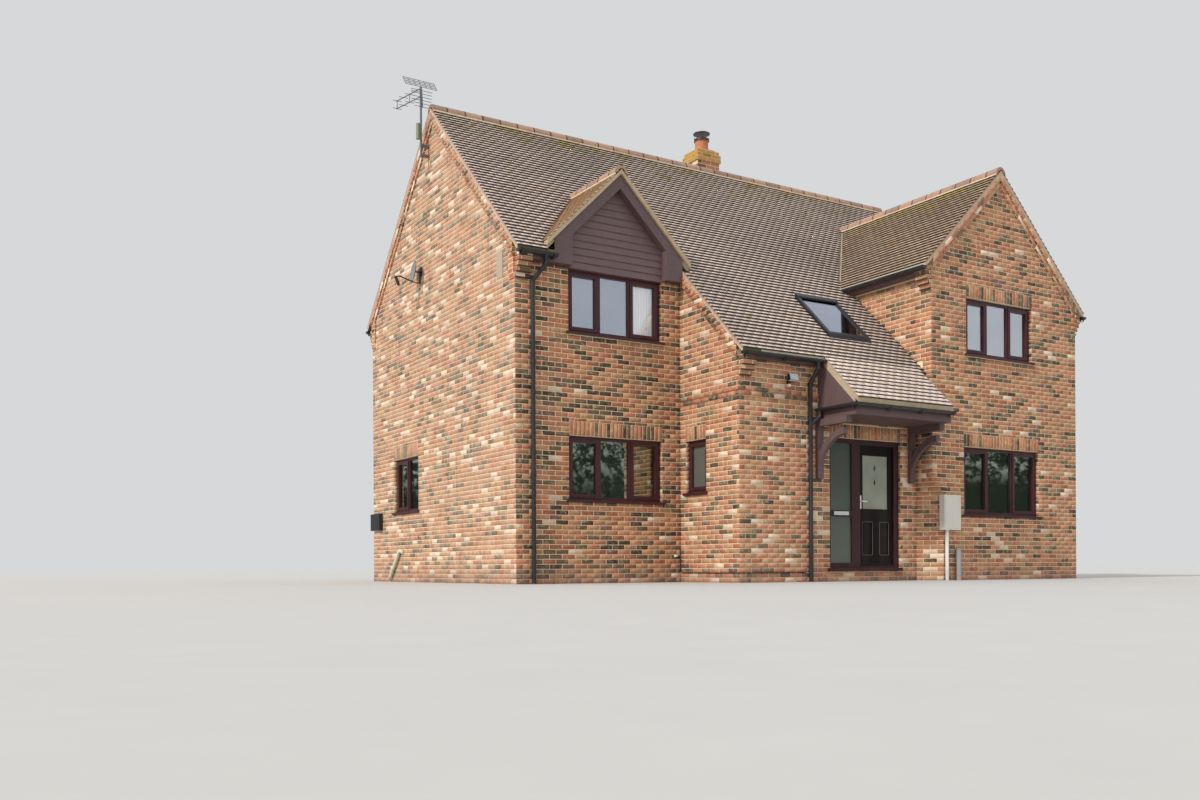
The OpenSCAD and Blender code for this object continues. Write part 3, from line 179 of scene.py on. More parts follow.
def shaderGroup(name, build, inputs):
    # An input is a colour where its value is a tuple, and otherwise a number.
    tree = bpy.data.node_groups.new(name, "ShaderNodeTree")
    tree.interface.new_socket(name="Vector", in_out="INPUT", socket_type="NodeSocketVector")
    for label, value in {"Color": (0.5, 0.5, 0.5, 1), **inputs}.items():
        kind = "NodeSocketColor" if isinstance(value, tuple) else "NodeSocketFloat"
        socket = tree.interface.new_socket(name=label, in_out="INPUT", socket_type=kind)
        socket.default_value = value
    net = Net(tree)
    results = build(net, net.add("NodeGroupInput").outputs)
    for label in results:
        kind = "NodeSocketColor" if label == "Color" else "NodeSocketFloat"
        tree.interface.new_socket(name=label, in_out="OUTPUT", socket_type=kind)
    made = net.add("NodeGroupOutput")
    for label, value in results.items():
        net.put(made.inputs[label], value)
    return tree


def useGroup(net, tree, **values):
    return net.add("ShaderNodeGroup", values, node_tree=tree).outputs


def buildSpeckle(net, given):
    fine = net.noise(given["Vector"], given["Scale"], 6.0, 0.65)
    broad = net.noise(given["Vector"], net.times(given["Scale"], 0.12), 2.0)
    height = net.plus(net.times(fine, 0.7), net.times(broad, 0.3))
    return {"Color": net.mottled(given["Color"], height, 0.3, 0.7, given["Amount"]),
            "Height": height}


def buildWeathering(net, given):
    streaks = net.noise(net.stretch(given["Vector"], (5.0, 5.0, 0.45)), 1.0, 4.0, 0.6)
    broad = net.noise(given["Vector"], 0.9, 3.0)
    stain = net.times(net.remap(streaks, 0.45, 0.75), net.remap(broad, 0.35, 0.65))
    height = net.plus(net.split(given["Vector"])[2], net.times(streaks, 0.18))
    splash = net.remap(height, 0.12, 0.42, 1.0, 0.0)
    stained = net.mix(net.times(stain, given["Stain"]), given["Color"], given["Stain Color"])
    return {"Color": net.mix(net.times(splash, given["Splash"]), stained, given["Splash Color"])}


def buildLichen(net, given):
    cells = net.add("ShaderNodeTexVoronoi", {"Vector": given["Vector"], "Scale": 9.0,
                                             "Randomness": 1.0}).outputs[0]
    ragged = net.plus(cells, net.times(net.noise(given["Vector"], 30.0, 4.0), 0.35))
    patches = net.noise(given["Vector"], 0.8, 3.0)
    spots = net.times(net.remap(net.minus(ragged, given["Cover"]), 0.34, 0.27),
                      net.remap(net.plus(patches, given["Cover"]), 0.5, 0.62))
    return {"Color": net.mix(net.times(spots, given["Amount"]), given["Color"],
                             given["Lichen Color"])}


def buildGrain(net, given):
    along = net.noise(net.stretch(given["Vector"], (60.0, 60.0, 3.0)), 1.0, 3.0, 0.6)
    across = net.noise(net.stretch(given["Vector"], (3.0, 60.0, 60.0)), 1.0, 3.0, 0.6)
    height = net.times(net.plus(along, across), 0.5)
    return {"Color": net.mottled(given["Color"], height, 0.35, 0.65, given["Amount"]),
            "Height": height}


speckle = shaderGroup("surfaceSpeckle", buildSpeckle, {"Scale": 40.0, "Amount": 0.15})
weathering = shaderGroup("weathering", buildWeathering, {
    "Stain": 0.35, "Stain Color": paint(74, 62, 56), "Splash": 0.4,
    "Splash Color": paint(150, 116, 104)})
lichen = shaderGroup("lichen", buildLichen, {"Amount": 0.7, "Cover": 0.0,
                                             "Lichen Color": paint(176, 152, 70)})
grain = shaderGroup("foilGrain", buildGrain, {"Color": (0.2, 0.05, 0.05, 1), "Amount": 0.2})

looks = {}


def newLook(name, build, relief=None, fixed=()):
    # build gives the colour, the height of the relief and the roughness. relief is its strength
    # and distance. fixed holds values that stay plain on their sockets.
    look = bpy.data.materials.new(name)
    look.use_nodes = True
    look.node_tree.nodes.clear()
    net = Net(look.node_tree)
    output = net.add("ShaderNodeOutputMaterial")
    shader = net.add("ShaderNodeBsdfPrincipled")
    net.put(output.inputs[0], shader.outputs[0])
    colour, height, rough = build(net, net.add("ShaderNodeTexCoord").outputs["Object"])
    net.put(shader.inputs["Base Color"], colour)
    net.put(shader.inputs["Roughness"], rough)
    if relief:
        bump = net.add("ShaderNodeBump",
                       {"Height": height, "Strength": relief[0], "Distance": relief[1]})
        net.put(shader.inputs["Normal"], bump.outputs[0])
    for label, value in dict(fixed).items():
        shader.inputs[label].default_value = value
    looks[name] = look


def weathered(net, vector, colour, scale, amount, stain, splash=0.0, stainColour=None):
    # Speckle and weathering on a colour, with the speckle's height.
    spotted = useGroup(net, speckle, Vector=vector, Color=colour, Scale=scale, Amount=amount)
    worn = net.add("ShaderNodeGroup", {"Vector": vector, "Color": spotted["Color"], "Stain": stain,
                                       "Splash": splash}, node_tree=weathering)
    net.put(worn.inputs["Stain Color"], stainColour)
    return worn.outputs["Color"], spotted["Height"]


brick = {"length": 0.215, "joint": 0.010, "course": 0.075, "pitch": 0.225, "soldier": 0.225}
brickColours = {
    "salmon": paint(186, 124, 90), "tan": paint(178, 132, 92), "russet": paint(168, 102, 72),
    "olive": paint(112, 88, 64), "dark": paint(80, 62, 48), "mauve": paint(124, 92, 78),
    "cream": paint(222, 196, 172),
}
mortarColour, bloomColour = paint(232, 218, 182), paint(226, 208, 190)


def brickStops(shares):
    # Shares of the brick colours, in their order, as the stops of a stepped ramp.
    stops, place = [], 0.0
    for colour, share in zip(brickColours.values(), shares):
        if share:
            stops.append((place, colour))
            place += share
    return stops


def brickLook(name, shares, bloom, stain, splash, level):
    def build(net, vector):
        tone = net.tone()
        # level scales the brightness of every brick in the wall: painted shade on the walls where it is
        # under 1
        own = net.remap(net.chance(net.times(tone, 91.7)), 0.0, 1.0, 0.88 * level, 1.14 * level)
        varied = net.shaded(net.ramp(tone, brickStops(shares), "CONSTANT"), own)
        smear = net.remap(net.noise(vector, 9.0, 4.0, 0.65), 0.52, 0.74)
        smeared = net.mix(net.times(smear, 0.3), varied, brickColours["olive"])
        dust = net.remap(net.noise(vector, 14.0, 3.0), 0.5, 0.8, 0.0, 0.4)
        dusted = net.mix(dust, smeared, mortarColour)
        # Salts bloom over some bricks and leave others bare
        salts = net.remap(net.noise(vector, 3.0, 5.0, 0.7), 0.35, 0.65, 0.3, 1.7)
        bloomed = net.mix(net.times(salts, bloom), dusted, bloomColour)
        return (*weathered(net, vector, bloomed, 70.0, 0.16, stain, splash), 0.88)
    newLook(name, build, (0.6, 0.003), {"Specular IOR Level": 0.25})


# Shares of the brick colours, bloom, stain, splash and a brightness factor for the whole wall, which
# darkens some walls as painted shade
brickLooks = {
    "wallBrick": ((0.34, 0.2, 0.14, 0.12, 0.09, 0.05, 0.06), 0.04, 0.15, 0.4, 1.0),
    "gableBrick": ((0.3, 0.25, 0.11, 0.12, 0.04, 0.06, 0.12), 0.17, 0.2, 0.4, 0.94),
    "frontBrick": ((0.26, 0.14, 0.18, 0.17, 0.16, 0.06, 0.03), 0.01, 0.4, 0.4, 0.92),
    "wingBrick": ((0.32, 0.18, 0.17, 0.13, 0.1, 0.05, 0.05), 0.03, 0.2, 0.4, 0.93),
    "bandBrick": ((0.38, 0.28, 0.12, 0.08, 0, 0, 0.14), 0.12, 0.15, 0.0, 1.0),
}
for name, values in brickLooks.items():
    brickLook(name, *values)
newLook("mortar", lambda net, vector: (
    *weathered(net, vector, mortarColour, 90.0, 0.16, 0.2, 0.5), 0.92), (0.7, 0.002))


def drawnBricks(net, along, upward, shares):
    # Colours and joints of a bond on faces that carry no bricks of their own.
    bond = net.add("ShaderNodeTexBrick", {
        "Vector": net.add("ShaderNodeCombineXYZ", {0: along, 1: upward}).outputs[0],
        "Color1": (0, 0, 0, 1), "Color2": (1, 1, 1, 1), "Mortar": (0.5, 0.5, 0.5, 1), "Scale": 1.0,
        "Mortar Size": brick["joint"] / 2, "Brick Width": brick["pitch"],
        "Row Height": brick["course"]}).outputs
    return net.ramp(bond[0], brickStops(shares), "CONSTANT"), bond[1]


# Yellow growth starts between these heights of the stack, on its west face most
stackGrowth = {"low": 8.42, "high": 8.52, "west": (0.55, 0.95), "others": (0.05, 0.55)}


def patternLook(name, shadow):
    # shadow is the depth of the dark lines under the courses of a corbel.
    def build(net, vector):
        place, facing = net.split(vector), net.facing()
        sideways = net.above(net.size(facing[0]), 0.7)
        flat = net.above(net.size(facing[2]), 0.9)
        colour, joint = drawnBricks(net, net.blend(sideways, place[0], place[1]),
                                    net.blend(flat, place[2], place[1]),
                                    (0.4, 0.22, 0.14, 0.1, 0.07, 0, 0.07))
        spotted = useGroup(net, speckle, Vector=vector, Color=colour, Scale=70.0, Amount=0.2)
        pointed = net.mix(joint, spotted["Color"], mortarColour)
        patches = net.remap(net.noise(vector, 6.0, 4.0, 0.6), 0.42, 0.58)
        most = net.blend(net.below(facing[0], -0.5), net.blend(patches, *stackGrowth["others"]),
                         net.blend(patches, *stackGrowth["west"]))
        yellowed = net.times(net.remap(place[2], stackGrowth["low"], stackGrowth["high"]), most)
        grown = net.mix(yellowed, pointed, paint(172, 142, 44))
        course = net.math("FRACT", net.math("DIVIDE", place[2], brick["course"]))
        hidden = net.math("MAXIMUM", net.below(facing[2], -0.5), net.below(course, 0.24))
        lined = net.mix(net.times(hidden, shadow), grown, paint(44, 34, 28))
        return lined, net.minus(spotted["Height"], joint), 0.9
    newLook(name, build, (0.6, 0.004))


patternLook("brickPattern", 0.0)
patternLook("corbelBrick", 0.93)

# Plain tiles: a roof's tones, ridge height, eaves run, the colour of the painted shade on the tails,
# and how strong the painted shade is in the head of each course
tileValues = {"width": 0.1643, "pitch": 0.165, "gauge": 0.0995, "lap": 0.012, "tail": 0.027,
              "camber": 0.001, "jitter": 0.002, "seed": 21}
tileColours = {"bleach": paint(150, 138, 130), "green": paint(150, 144, 100),
               "courseShade": paint(66, 56, 51), "growth": paint(184, 160, 60)}
toneStops = (0.0, 0.28, 0.52, 0.74, 0.9)
tileLooks = {
    "roofTile": (((234, 214, 200), (230, 210, 197), (237, 217, 202), (226, 206, 192),
                  (230, 205, 184)), ridgeZ, 4.75, (50, 41, 38), 0.86),
    "wingTile": (((186, 158, 132), (178, 150, 124), (192, 168, 142), (170, 140, 114),
                  (182, 148, 116)), wingRidgeZ, 1.91, (50, 41, 38), 0.86),
    "dormerTile": (((236, 206, 178), (226, 194, 164), (242, 214, 186), (216, 184, 156),
                    (234, 200, 154)), 6.46, 1.32, (150, 116, 84), 0.6),
}


def tileLook(name, tones, top, eavesRun, tailShadeColour, courseShade):
    def build(net, vector):
        tone = net.tone()
        stops = [(place, paint(*colour)) for place, colour in zip(toneStops, tones)]
        own = net.remap(net.chance(net.times(tone, 57.3)), 0.0, 1.0, 0.975, 1.02)
        varied = net.shaded(net.ramp(tone, stops, "CONSTANT"), own)
        broad = net.remap(net.noise(vector, 0.55, 4.0, 0.6), 0.38, 0.62)
        bleached = net.mix(net.times(broad, 0.3), varied, tileColours["bleach"])
        spotted = useGroup(net, speckle, Vector=vector, Color=bleached, Scale=55.0, Amount=0.05)
        height = net.split(vector)[2]
        near = net.remap(height, top - 1.3, top - 0.1)
        greened = net.mix(net.times(near, 0.22), spotted["Color"], tileColours["green"])
        grown = useGroup(net, lichen, Vector=vector, Color=greened,
                         Amount=net.blend(near, 0.25, 0.6), Cover=net.times(near, 0.12))
        worn = useGroup(net, weathering, Vector=vector, Color=grown["Color"], Stain=0.22,
                        Splash=0.0)
        # Painted shade darkens the head of each course, under the tails of the next one
        rise = net.math("DIVIDE", net.minus(height, top - eavesRun * slopeRatio),
                        slopeSin * tileValues["gauge"])
        course = net.math("FRACT", net.minus(rise, 0.1))
        headShaded = net.times(net.remap(course, 0.56, 0.68, 0.0, courseShade), net.above(rise, 0.0))
        # Yellow growth spreads along the courses close under the ridge
        growth = net.noise(net.stretch(vector, (2.6, 2.6, 7.0)), 1.0, 3.0, 0.6)
        close = net.remap(height, top - 0.8, top - 0.1, 0.0, 0.19)
        yellow = net.times(net.remap(net.plus(growth, close), 0.70, 0.72, 0.0, 0.85),
                           net.below(course, 0.6))
        grownAndShaded = net.mix(yellow, net.mix(headShaded, worn["Color"], tileColours["courseShade"]),
                        tileColours["growth"])
        # Faces that look down, the tails most, take the tail colour: painted shade
        under = net.remap(net.facing()[2], -0.35, 0.2, 0.94, 0.0)
        return net.mix(under, grownAndShaded, paint(*tailShadeColour)), spotted["Height"], 0.82
    newLook(name, build, (0.5, 0.003), {"Specular IOR Level": 0.3})


for name, values in tileLooks.items():
    tileLook(name, *values)

# Half-round ridge tiles: their joints, and a tone for each one
ridgeValues = {"length": 0.34, "tones": [(0.0, paint(160, 130, 112)), (0.35, paint(170, 136, 114)),
                                         (0.7, paint(146, 118, 102))]}


def buildRidge(net, vector):
    place = net.split(vector)
    onMain = net.above(place[2], 7.7)
    along = net.math("DIVIDE", net.blend(onMain, place[1], place[0]), ridgeValues["length"])
    colour = net.ramp(net.chance(net.math("FLOOR", along)), ridgeValues["tones"], "CONSTANT")
    spotted = useGroup(net, speckle, Vector=vector, Color=colour, Scale=30.0, Amount=0.2)
    grown = useGroup(net, lichen, Vector=vector, Color=spotted["Color"], Amount=0.8, Cover=0.07)
    joint = net.remap(net.size(net.minus(net.math("FRACT", along), 0.5)), 0.450, 0.472)
    return (net.mix(joint, grown["Color"], paint(78, 60, 50)),
            net.minus(spotted["Height"], joint), 0.85)


newLook("ridgeClay", buildRidge, (0.6, 0.005))


def vergeLook(name, main):
    # Edges of the roofs: tile ends and cream mortar on top, brickwork below them.
    def build(net, vector):
        place, facing = net.split(vector), net.facing()
        run = net.size(place[1] if main else net.minus(place[0], wingRidgeX))
        eaten = net.times(run, slopeRatio)
        drop = net.minus(net.minus(ridgeZ if main else wingRidgeZ, eaten), place[2])
        waver = net.remap(net.noise(vector, 12.0, 3.0), 0.3, 0.7, -0.012, 0.012)
        ragged = net.plus(drop, waver)
        colour, joint = drawnBricks(net, place[1] if main else place[0], place[2],
                                    (0.42, 0.26, 0.12, 0.08, 0, 0, 0.12))
        edged = net.mix(net.remap(ragged, 0.055, 0.07), paint(176, 150, 130), paint(222, 206, 176))
        sided = net.mix(net.remap(ragged, 0.118, 0.128), edged,
                        net.mix(joint, colour, mortarColour))
        # Moss lies in the dormer's valleys, and pale mortar in the others
        valley = net.mix(net.above(place[0], -2.0), paint(98, 92, 56), paint(190, 180, 158))
        upright = net.above(net.size(facing[0] if main else facing[1]), 0.8)
        spotted = useGroup(net, speckle, Vector=vector, Color=net.mix(upright, valley, sided),
                           Scale=60.0, Amount=0.2)
        return spotted["Color"], spotted["Height"], 0.9
    newLook(name, build, (0.6, 0.003))


vergeLook("mainVerge", True)
vergeLook("wingVerge", False)


def foilLook(name, colour, rough, amount, specular=0.5):
    def build(net, vector):
        grained = useGroup(net, grain, Vector=vector, Color=paint(*colour), Amount=amount)
        worn = net.add("ShaderNodeGroup", {
            "Vector": vector, "Color": grained["Color"], "Stain": 0.12, "Splash": 0.0,
            "Stain Color": paint(120, 104, 98)}, node_tree=weathering)
        return (worn.outputs["Color"], grained["Height"],
                net.remap(grained["Height"], 0.35, 0.65, rough - 0.06, rough + 0.08))
    newLook(name, build, (0.25, 0.0008), {"Specular IOR Level": specular})


def plainLook(name, colour, rough, scale, amount, stain=0.15, metal=0.0, stainColour=None):
    def build(net, vector):
        worn, height = weathered(net, vector, paint(*colour), scale, amount, stain,
                                 stainColour=stainColour)
        return worn, height, net.remap(height, 0.3, 0.7, rough - 0.08, rough + 0.08)
    newLook(name, build, (0.3, 0.001), {"Metallic": metal})


# Colour, roughness, grain and specular level
foilLooks = {
    "burgundyFoil": ((68, 31, 36), 0.36, 0.22, 0.4), "mauveBoard": ((96, 76, 76), 0.5, 0.2),
    "doorFrameFoil": ((56, 27, 30), 0.36, 0.22, 0.35), "claddingBoard": ((108, 86, 85), 0.5, 0.2),
    # The moulding foil is lighter than the door's foil: a painted highlight on the mouldings' raised
    # edges
    "doorFoil": ((22, 17, 16), 0.44, 0.25, 0.16), "mouldingFoil": ((92, 82, 76), 0.3, 0.2),
}
# Colour, roughness, speckle's scale and amount, stain, metal and the stain's colour
plainLooks = {
    "blackPlastic": ((38, 37, 40), 0.38, 40.0, 0.15, 0.4, 0.0, paint(92, 88, 84)),
    "whitePlastic": ((228, 226, 222), 0.35, 60.0, 0.04, 0.1),
    "creamPlastic": ((214, 210, 200), 0.5, 60.0, 0.06, 0.3),
    "silverMetal": ((222, 222, 222), 0.42, 120.0, 0.06, 0.15, 0.7),
    "leadSheet": ((124, 128, 134), 0.6, 25.0, 0.18, 0.5, 0.2, paint(190, 192, 190)),
    "clayPot": ((190, 120, 82), 0.82, 30.0, 0.22, 0.5),
    "timberFloor": ((150, 122, 92), 0.7, 20.0, 0.2),
    "concreteSlab": ((150, 146, 138), 0.85, 20.0, 0.15),
    "undercloak": ((178, 160, 130), 0.88, 30.0, 0.25, 0.4),
    "mortarBead": ((218, 196, 168), 0.9, 40.0, 0.2, 0.3),
    "lagging": ((206, 206, 186), 0.85, 30.0, 0.3, 0.25),
}
for maker, table in ((foilLook, foilLooks), (plainLook, plainLooks)):
    for name, values in table.items():
        maker(name, *values)


def glassLook(name, tint, mirror, rough, through, specular=0.9, foot=None):
    # The plain metallic share stands for the mirror of the two sealed sheets.
    def build(net, vector):
        ripple = net.noise(vector, 1.3, 1.0)
        dust = net.remap(net.noise(vector, 7.0, 5.0, 0.7), 0.5, 0.8, 0.0, 0.05)
        lightGraded = tint
        if foot:
            # The pane is lighter towards its foot and darker at its top: painted light and shade
            lightGraded = net.mix(net.remap(net.split(vector)[2], 0.4, 1.7), foot, tint)
        return net.mix(dust, lightGraded, paint(206, 204, 198)), ripple, rough
    newLook(name, build, (0.06, 0.01), {"Metallic": mirror, "IOR": 1.5, "Specular IOR Level": specular,
                                        "Transmission Weight": through})


glassLooks = {
    "groundGlass": ((0.42, 0.47, 0.41, 1), 0.6, 0.012, 1.0),
    "upperGlass": ((0.72, 0.74, 0.76, 1), 0.6, 0.012, 1.0),
    "curtainedGlass": ((0.95, 0.96, 0.97, 1), 0.12, 0.012, 1.0),
    "frostedGlass": (paint(100, 102, 92), 0.0, 0.4, 0.2),
    "satinGlass": (paint(76, 86, 77), 0.0, 0.4, 0.2, 0.35, paint(104, 114, 102)),
}
for name, values in glassLooks.items():
    glassLook(name, *values)

# The door's pale patterned glass, with small dark lozenges in a line
lozenges = {"x": 0.613, "heights": (1.868, 1.634), "size": 0.06, "slim": 2.6}


def buildObscure(net, vector):
    ripple = net.add("ShaderNodeTexVoronoi", {"Vector": vector, "Scale": 60.0}).outputs[0]
    place = net.split(vector)
    side = net.times(net.size(net.minus(place[0], lozenges["x"])), lozenges["slim"])
    marks = [net.below(net.plus(side, net.size(net.minus(place[2], height))), lozenges["size"])
             for height in lozenges["heights"]]
    pale = net.ramp(net.noise(vector, 3.0, 2.0), [(0.3, paint(140, 146, 128)),
                                                  (0.7, paint(164, 170, 150))])
    return net.mix(net.math("MAXIMUM", *marks), pale, paint(22, 22, 24)), ripple, 0.3


newLook("obscureGlass", buildObscure, (0.5, 0.004), {"Transmission Weight": 0.15})


def placedLook(name, base, rough, places):
    # Fittings that share a node take their colours from where they are: a test is an axis, or an
    # axis of the face's direction from 3 on, with the lowest and the highest value.
    def build(net, vector):
        tested = [*net.split(vector), *net.facing()]
        colour = paint(*base)
        for tests, other in places:
            inside = None
            for axis, low, high in tests:
                span = net.add("ShaderNodeMath", {
                    0: tested[axis], 1: (low + high) / 2, 2: (high - low) / 2},
                    operation="COMPARE").outputs[0]
                inside = net.times(inside, span) if inside else span
            colour = net.mix(inside, colour, paint(*other))
        worn, height = weathered(net, vector, colour, 60.0, 0.1, 0.3, 0.3)
        return worn, height, net.remap(height, 0.3, 0.7, rough - 0.08, rough + 0.08)
    newLook(name, build, (0.3, 0.001))


placedLook("fittingPlastic", (36, 36, 38), 0.4, [
    ([(0, -5.4, -5.3), (1, -2.8, -2.4)], (172, 157, 136)),
    ([(0, -1.5, -1.1), (2, 3.13, 3.3), (4, -1.0, -0.3)], (186, 200, 196)),
    ([(0, -1.5, -1.1), (2, 3.0, 3.087)], (214, 212, 206)),
    ([(1, 0.6, 0.7)], (160, 128, 66)),
])
placedLook("pipePlastic", (222, 220, 214), 0.45, [([(0, 1.9, 2.3)], (150, 152, 150))])
placedLook("dishPaint", (40, 40, 42), 0.45, [([(0, -5.48, -5.38), (2, 5.3, 5.72)], (122, 124, 122))])
placedLook("aerialPaint", (98, 100, 102), 0.4, [([(2, 7.68, 7.97), (1, 0.1, 0.25)], (122, 130, 108))])

# Which CAD nodes take each look
lookNodes = {
    "mortar": "west_gable_wall front_wall_left return_wall entrance_wall_left entrance_wall_right "
              "entrance_wall_over threshold_wall wing_west_wall wing_front_wall wing_east_wall "
              "east_gable_wall rear_wall_ground rear_wall_upper soldier_courses",
    "concreteSlab": "ground_floor_slab", "timberFloor": "upper_floor",
    "brickPattern": "verge_bands chimney_stack", "corbelBrick": "kneelers",
    "mainVerge": "front_roof rear_roof", "wingVerge": "wing_roof",
    "undercloak": "dormer_roof canopy_roof", "ridgeClay": "ridge_tiles",
    "claddingBoard": "dormer_cladding", "leadSheet": "lead_flashings",
    "mauveBoard": "bargeboards canopy_timbers canopy_brackets eaves_boards",
    "blackPlastic": "gutters downpipes chimney_cowl rooflight_frame", "clayPot": "chimney_pot",
    "burgundyFoil": "ground_window_frames upper_window_frames window_sashes return_window_sash "
                    "window_sills",
    "groundGlass": "ground_window_glass", "upperGlass": "upper_window_glass",
    "doorFrameFoil": "door_frame", "doorFoil": "front_door", "obscureGlass": "door_glass",
    "whitePlastic": "door_handle", "silverMetal": "letter_plate door_hinges",
    "aerialPaint": "tv_aerial", "dishPaint": "satellite_dish", "creamPlastic": "meter_box",
    "pipePlastic": "service_pipes", "fittingPlastic": "wall_fittings",
}
for lookName, nodeNames in lookNodes.items():
    for nodeName in nodeNames.split():
        node = cadNodes[nodeName]
        if not node.material_slots:
            node.data.materials.append(looks[lookName])
        for slotHere in node.material_slots:
            slotHere.material = looks[lookName]
print("materials made")


# Geometry Nodes that repeat pieces
def growthTree(name, extras):
    tree = bpy.data.node_groups.new(name, "GeometryNodeTree")
    kinds = {"Geometry": "Geometry", **extras, "Seed": "Int", "Material": "Material"}
    for label, kind in kinds.items():
        tree.interface.new_socket(name=label, in_out="INPUT", socket_type="NodeSocket" + kind)
    tree.interface.new_socket(name="Geometry", in_out="OUTPUT", socket_type="NodeSocketGeometry")
    net = Net(tree)
    return tree, net, net.add("NodeGroupInput").outputs


def storeTone(net, geometry, seed, domain):
    tone = net.add("FunctionNodeRandomValue", {"Seed": seed}, data_type="FLOAT").outputs[1]
    return net.add("GeometryNodeStoreNamedAttribute",
                   {"Geometry": geometry, "Name": "tone", "Value": tone},
                   data_type="FLOAT", domain=domain).outputs[0]


def endTree(net, geometry, given):
    realised = net.add("GeometryNodeRealizeInstances", {0: geometry})
    finished = net.add("GeometryNodeSetMaterial", {"Geometry": realised.outputs[0],
                                                   "Material": given["Material"]})
    net.put(net.add("NodeGroupOutput").inputs[0], finished.outputs[0])


def grow(name, mesh, tree, **values):
    # Runs the tree on the mesh and gives back the result as a plain mesh.
    carrier = bpy.data.objects.new(name + "Carrier", mesh)
    scene.collection.objects.link(carrier)
    modifier = carrier.modifiers.new("growth", "NODES")
    modifier.node_group = tree
    for item in tree.interface.items_tree:
        if item.item_type == "SOCKET" and item.in_out == "INPUT" and item.name in values:
            modifier[item.identifier] = values[item.name]
    bpy.context.view_layer.update()
    graph = bpy.context.evaluated_depsgraph_get()
    grown = bpy.data.meshes.new_from_object(carrier.evaluated_get(graph))
    carrier.modifiers.remove(modifier)
    bpy.data.objects.remove(carrier)
    grown.name = name
    return grown


brickValues = {"relief": 0.0035, "spread": 0.001, "arris": 0.98, "seed": 7, "sliver": 0.012}
brickTree, net, given = growthTree("brickRelief", {"Relief": "Float", "Spread": "Float",
                                                   "Arris": "Float"})
stored = storeTone(net, given["Geometry"], given["Seed"], "FACE")
depth = net.add("FunctionNodeRandomValue", {
    2: net.minus(given["Relief"], given["Spread"]), 3: net.plus(given["Relief"], given["Spread"]),
    "Seed": net.plus(given["Seed"], 1.0)}, data_type="FLOAT")
raised = net.add("GeometryNodeExtrudeMesh", {
    "Mesh": stored, "Offset Scale": depth.outputs[1], "Individual": True}, mode="FACES")
eased = net.add("GeometryNodeScaleElements", {
    "Geometry": raised.outputs[0], "Selection": raised.outputs[1], "Scale": given["Arris"]},
    domain="FACE")
backs = net.add("GeometryNodeFlipFaces", {"Mesh": stored})
joined = net.add("GeometryNodeJoinGeometry")
net.put(joined.inputs[0], backs.outputs[0])
net.put(joined.inputs[0], eased.outputs[0])
merged = net.add("GeometryNodeMergeByDistance", {"Geometry": joined.outputs[0], "Distance": 0.0004})
endTree(net, merged.outputs[0], given)


def clipPolygon(points, limits):
    # Keeps the part of a convex polygon where a*u + b*v <= c for each limit.
    for a, b, c in limits:
        kept = []
        for here, after in zip(points, points[1:] + points[:1]):
            hereSide = a * here[0] + b * here[1] - c
            afterSide = a * after[0] + b * after[1] - c
            if hereSide <= 0:
                kept.append(here)
            if (hereSide < 0 < afterSide) or (afterSide < 0 < hereSide):
                share = hereSide / (hereSide - afterSide)
                kept.append((here[0] + share * (after[0] - here[0]),
                             here[1] + share * (after[1] - here[1])))
        points = kept
        if len(points) < 3:
            return []
    return points


def clipBrick(laid, left, right, low, high, limits, least=0.0):
    # Adds the brick to laid if the part that the limits leave is large enough.
    points = clipPolygon([(left, low), (right, low), (right, high), (left, high)], limits)
    area = sum(here[0] * after[1] - here[1] * after[0]
               for here, after in zip(points, points[1:] + points[:1])) / 2
    if len(points) > 2 and area > least:
        laid.append(points)


def bondPieces(left, right, anchor, odd):
    # Left and right edges of the bricks of one course between two ends.
    pitch, gap = brick["pitch"], brick["joint"] / 2
    shift = pitch / 2 if odd else 0.0
    edges = [left]
    step = math.ceil((left - anchor - shift) / pitch + 1e-6)
    while anchor + shift + step * pitch < right - 1e-6:
        edges.append(anchor + shift + step * pitch)
        step += 1
    edges.append(right)
    shortest = 0.05
    if len(edges) > 2 and edges[1] - edges[0] < shortest:
        edges.pop(1)
    if len(edges) > 2 and edges[-1] - edges[-2] < shortest:
        edges.pop(-2)
    last = len(edges) - 2
    return [(edges[k] + (gap if k else 0), edges[k + 1] - (gap if k < last else 0))
            for k in range(last + 1)]


def layCourses(area, holes=(), limits=(), phase=0, anchor=None, ends=(None, None), turned=0.0035):
    # Bricks of a wall face in face coordinates. ends say in which courses, even or odd, a brick
    # turns the outer corner at that end.
    left, right, low, high = area
    anchor = left if anchor is None else anchor
    course, gap, sliver = brick["course"], brick["joint"] / 2, brickValues["sliver"]
    laid = []
    row = math.floor(low / course + 1e-6)
    while row * course < high - sliver:
        bottom = max(row * course + gap, low)
        top = min(row * course + course - gap, high)
        odd = (row + phase) % 2
        spans, strips = [(left, right)], []
        for holeLeft, holeRight, holeLow, holeHigh in holes:
            if holeLow < top - 0.003 and holeHigh > bottom + 0.003:
                spans = [part for span in spans for part in
                         ((span[0], min(span[1], holeLeft)), (max(span[0], holeRight), span[1]))
                         if part[1] - part[0] > 0.02]
                if top - holeHigh > sliver:
                    strips.append((holeLeft + gap, holeRight - gap, holeHigh, top))
                if holeLow - bottom > sliver:
                    strips.append((holeLeft + gap, holeRight - gap, bottom, holeLow))
        strips += [(*span, bottom, top) for span in spans]
        for stripLeft, stripRight, stripLow, stripHigh in strips:
            for start, stop in bondPieces(stripLeft, stripRight, anchor, odd):
                if odd == ends[0] and abs(start - left) < 1e-6:
                    start -= turned
                if odd == ends[1] and abs(stop - right) < 1e-6:
                    stop += turned
                clipBrick(laid, start, stop, stripLow, stripHigh, limits, 0.0004)
        row += 1
    return laid


def laySoldiers(left, right, low, limits=()):
    # Bricks on end, side by side.
    count = max(1, round((right - left) / brick["course"]))
    width = (right - left) / count
    laid = []
    for k in range(count):
        start = left + k * width + brick["joint"] / 2
        clipBrick(laid, start, start + width - brick["joint"], low, low + brick["length"], limits)
    return laid


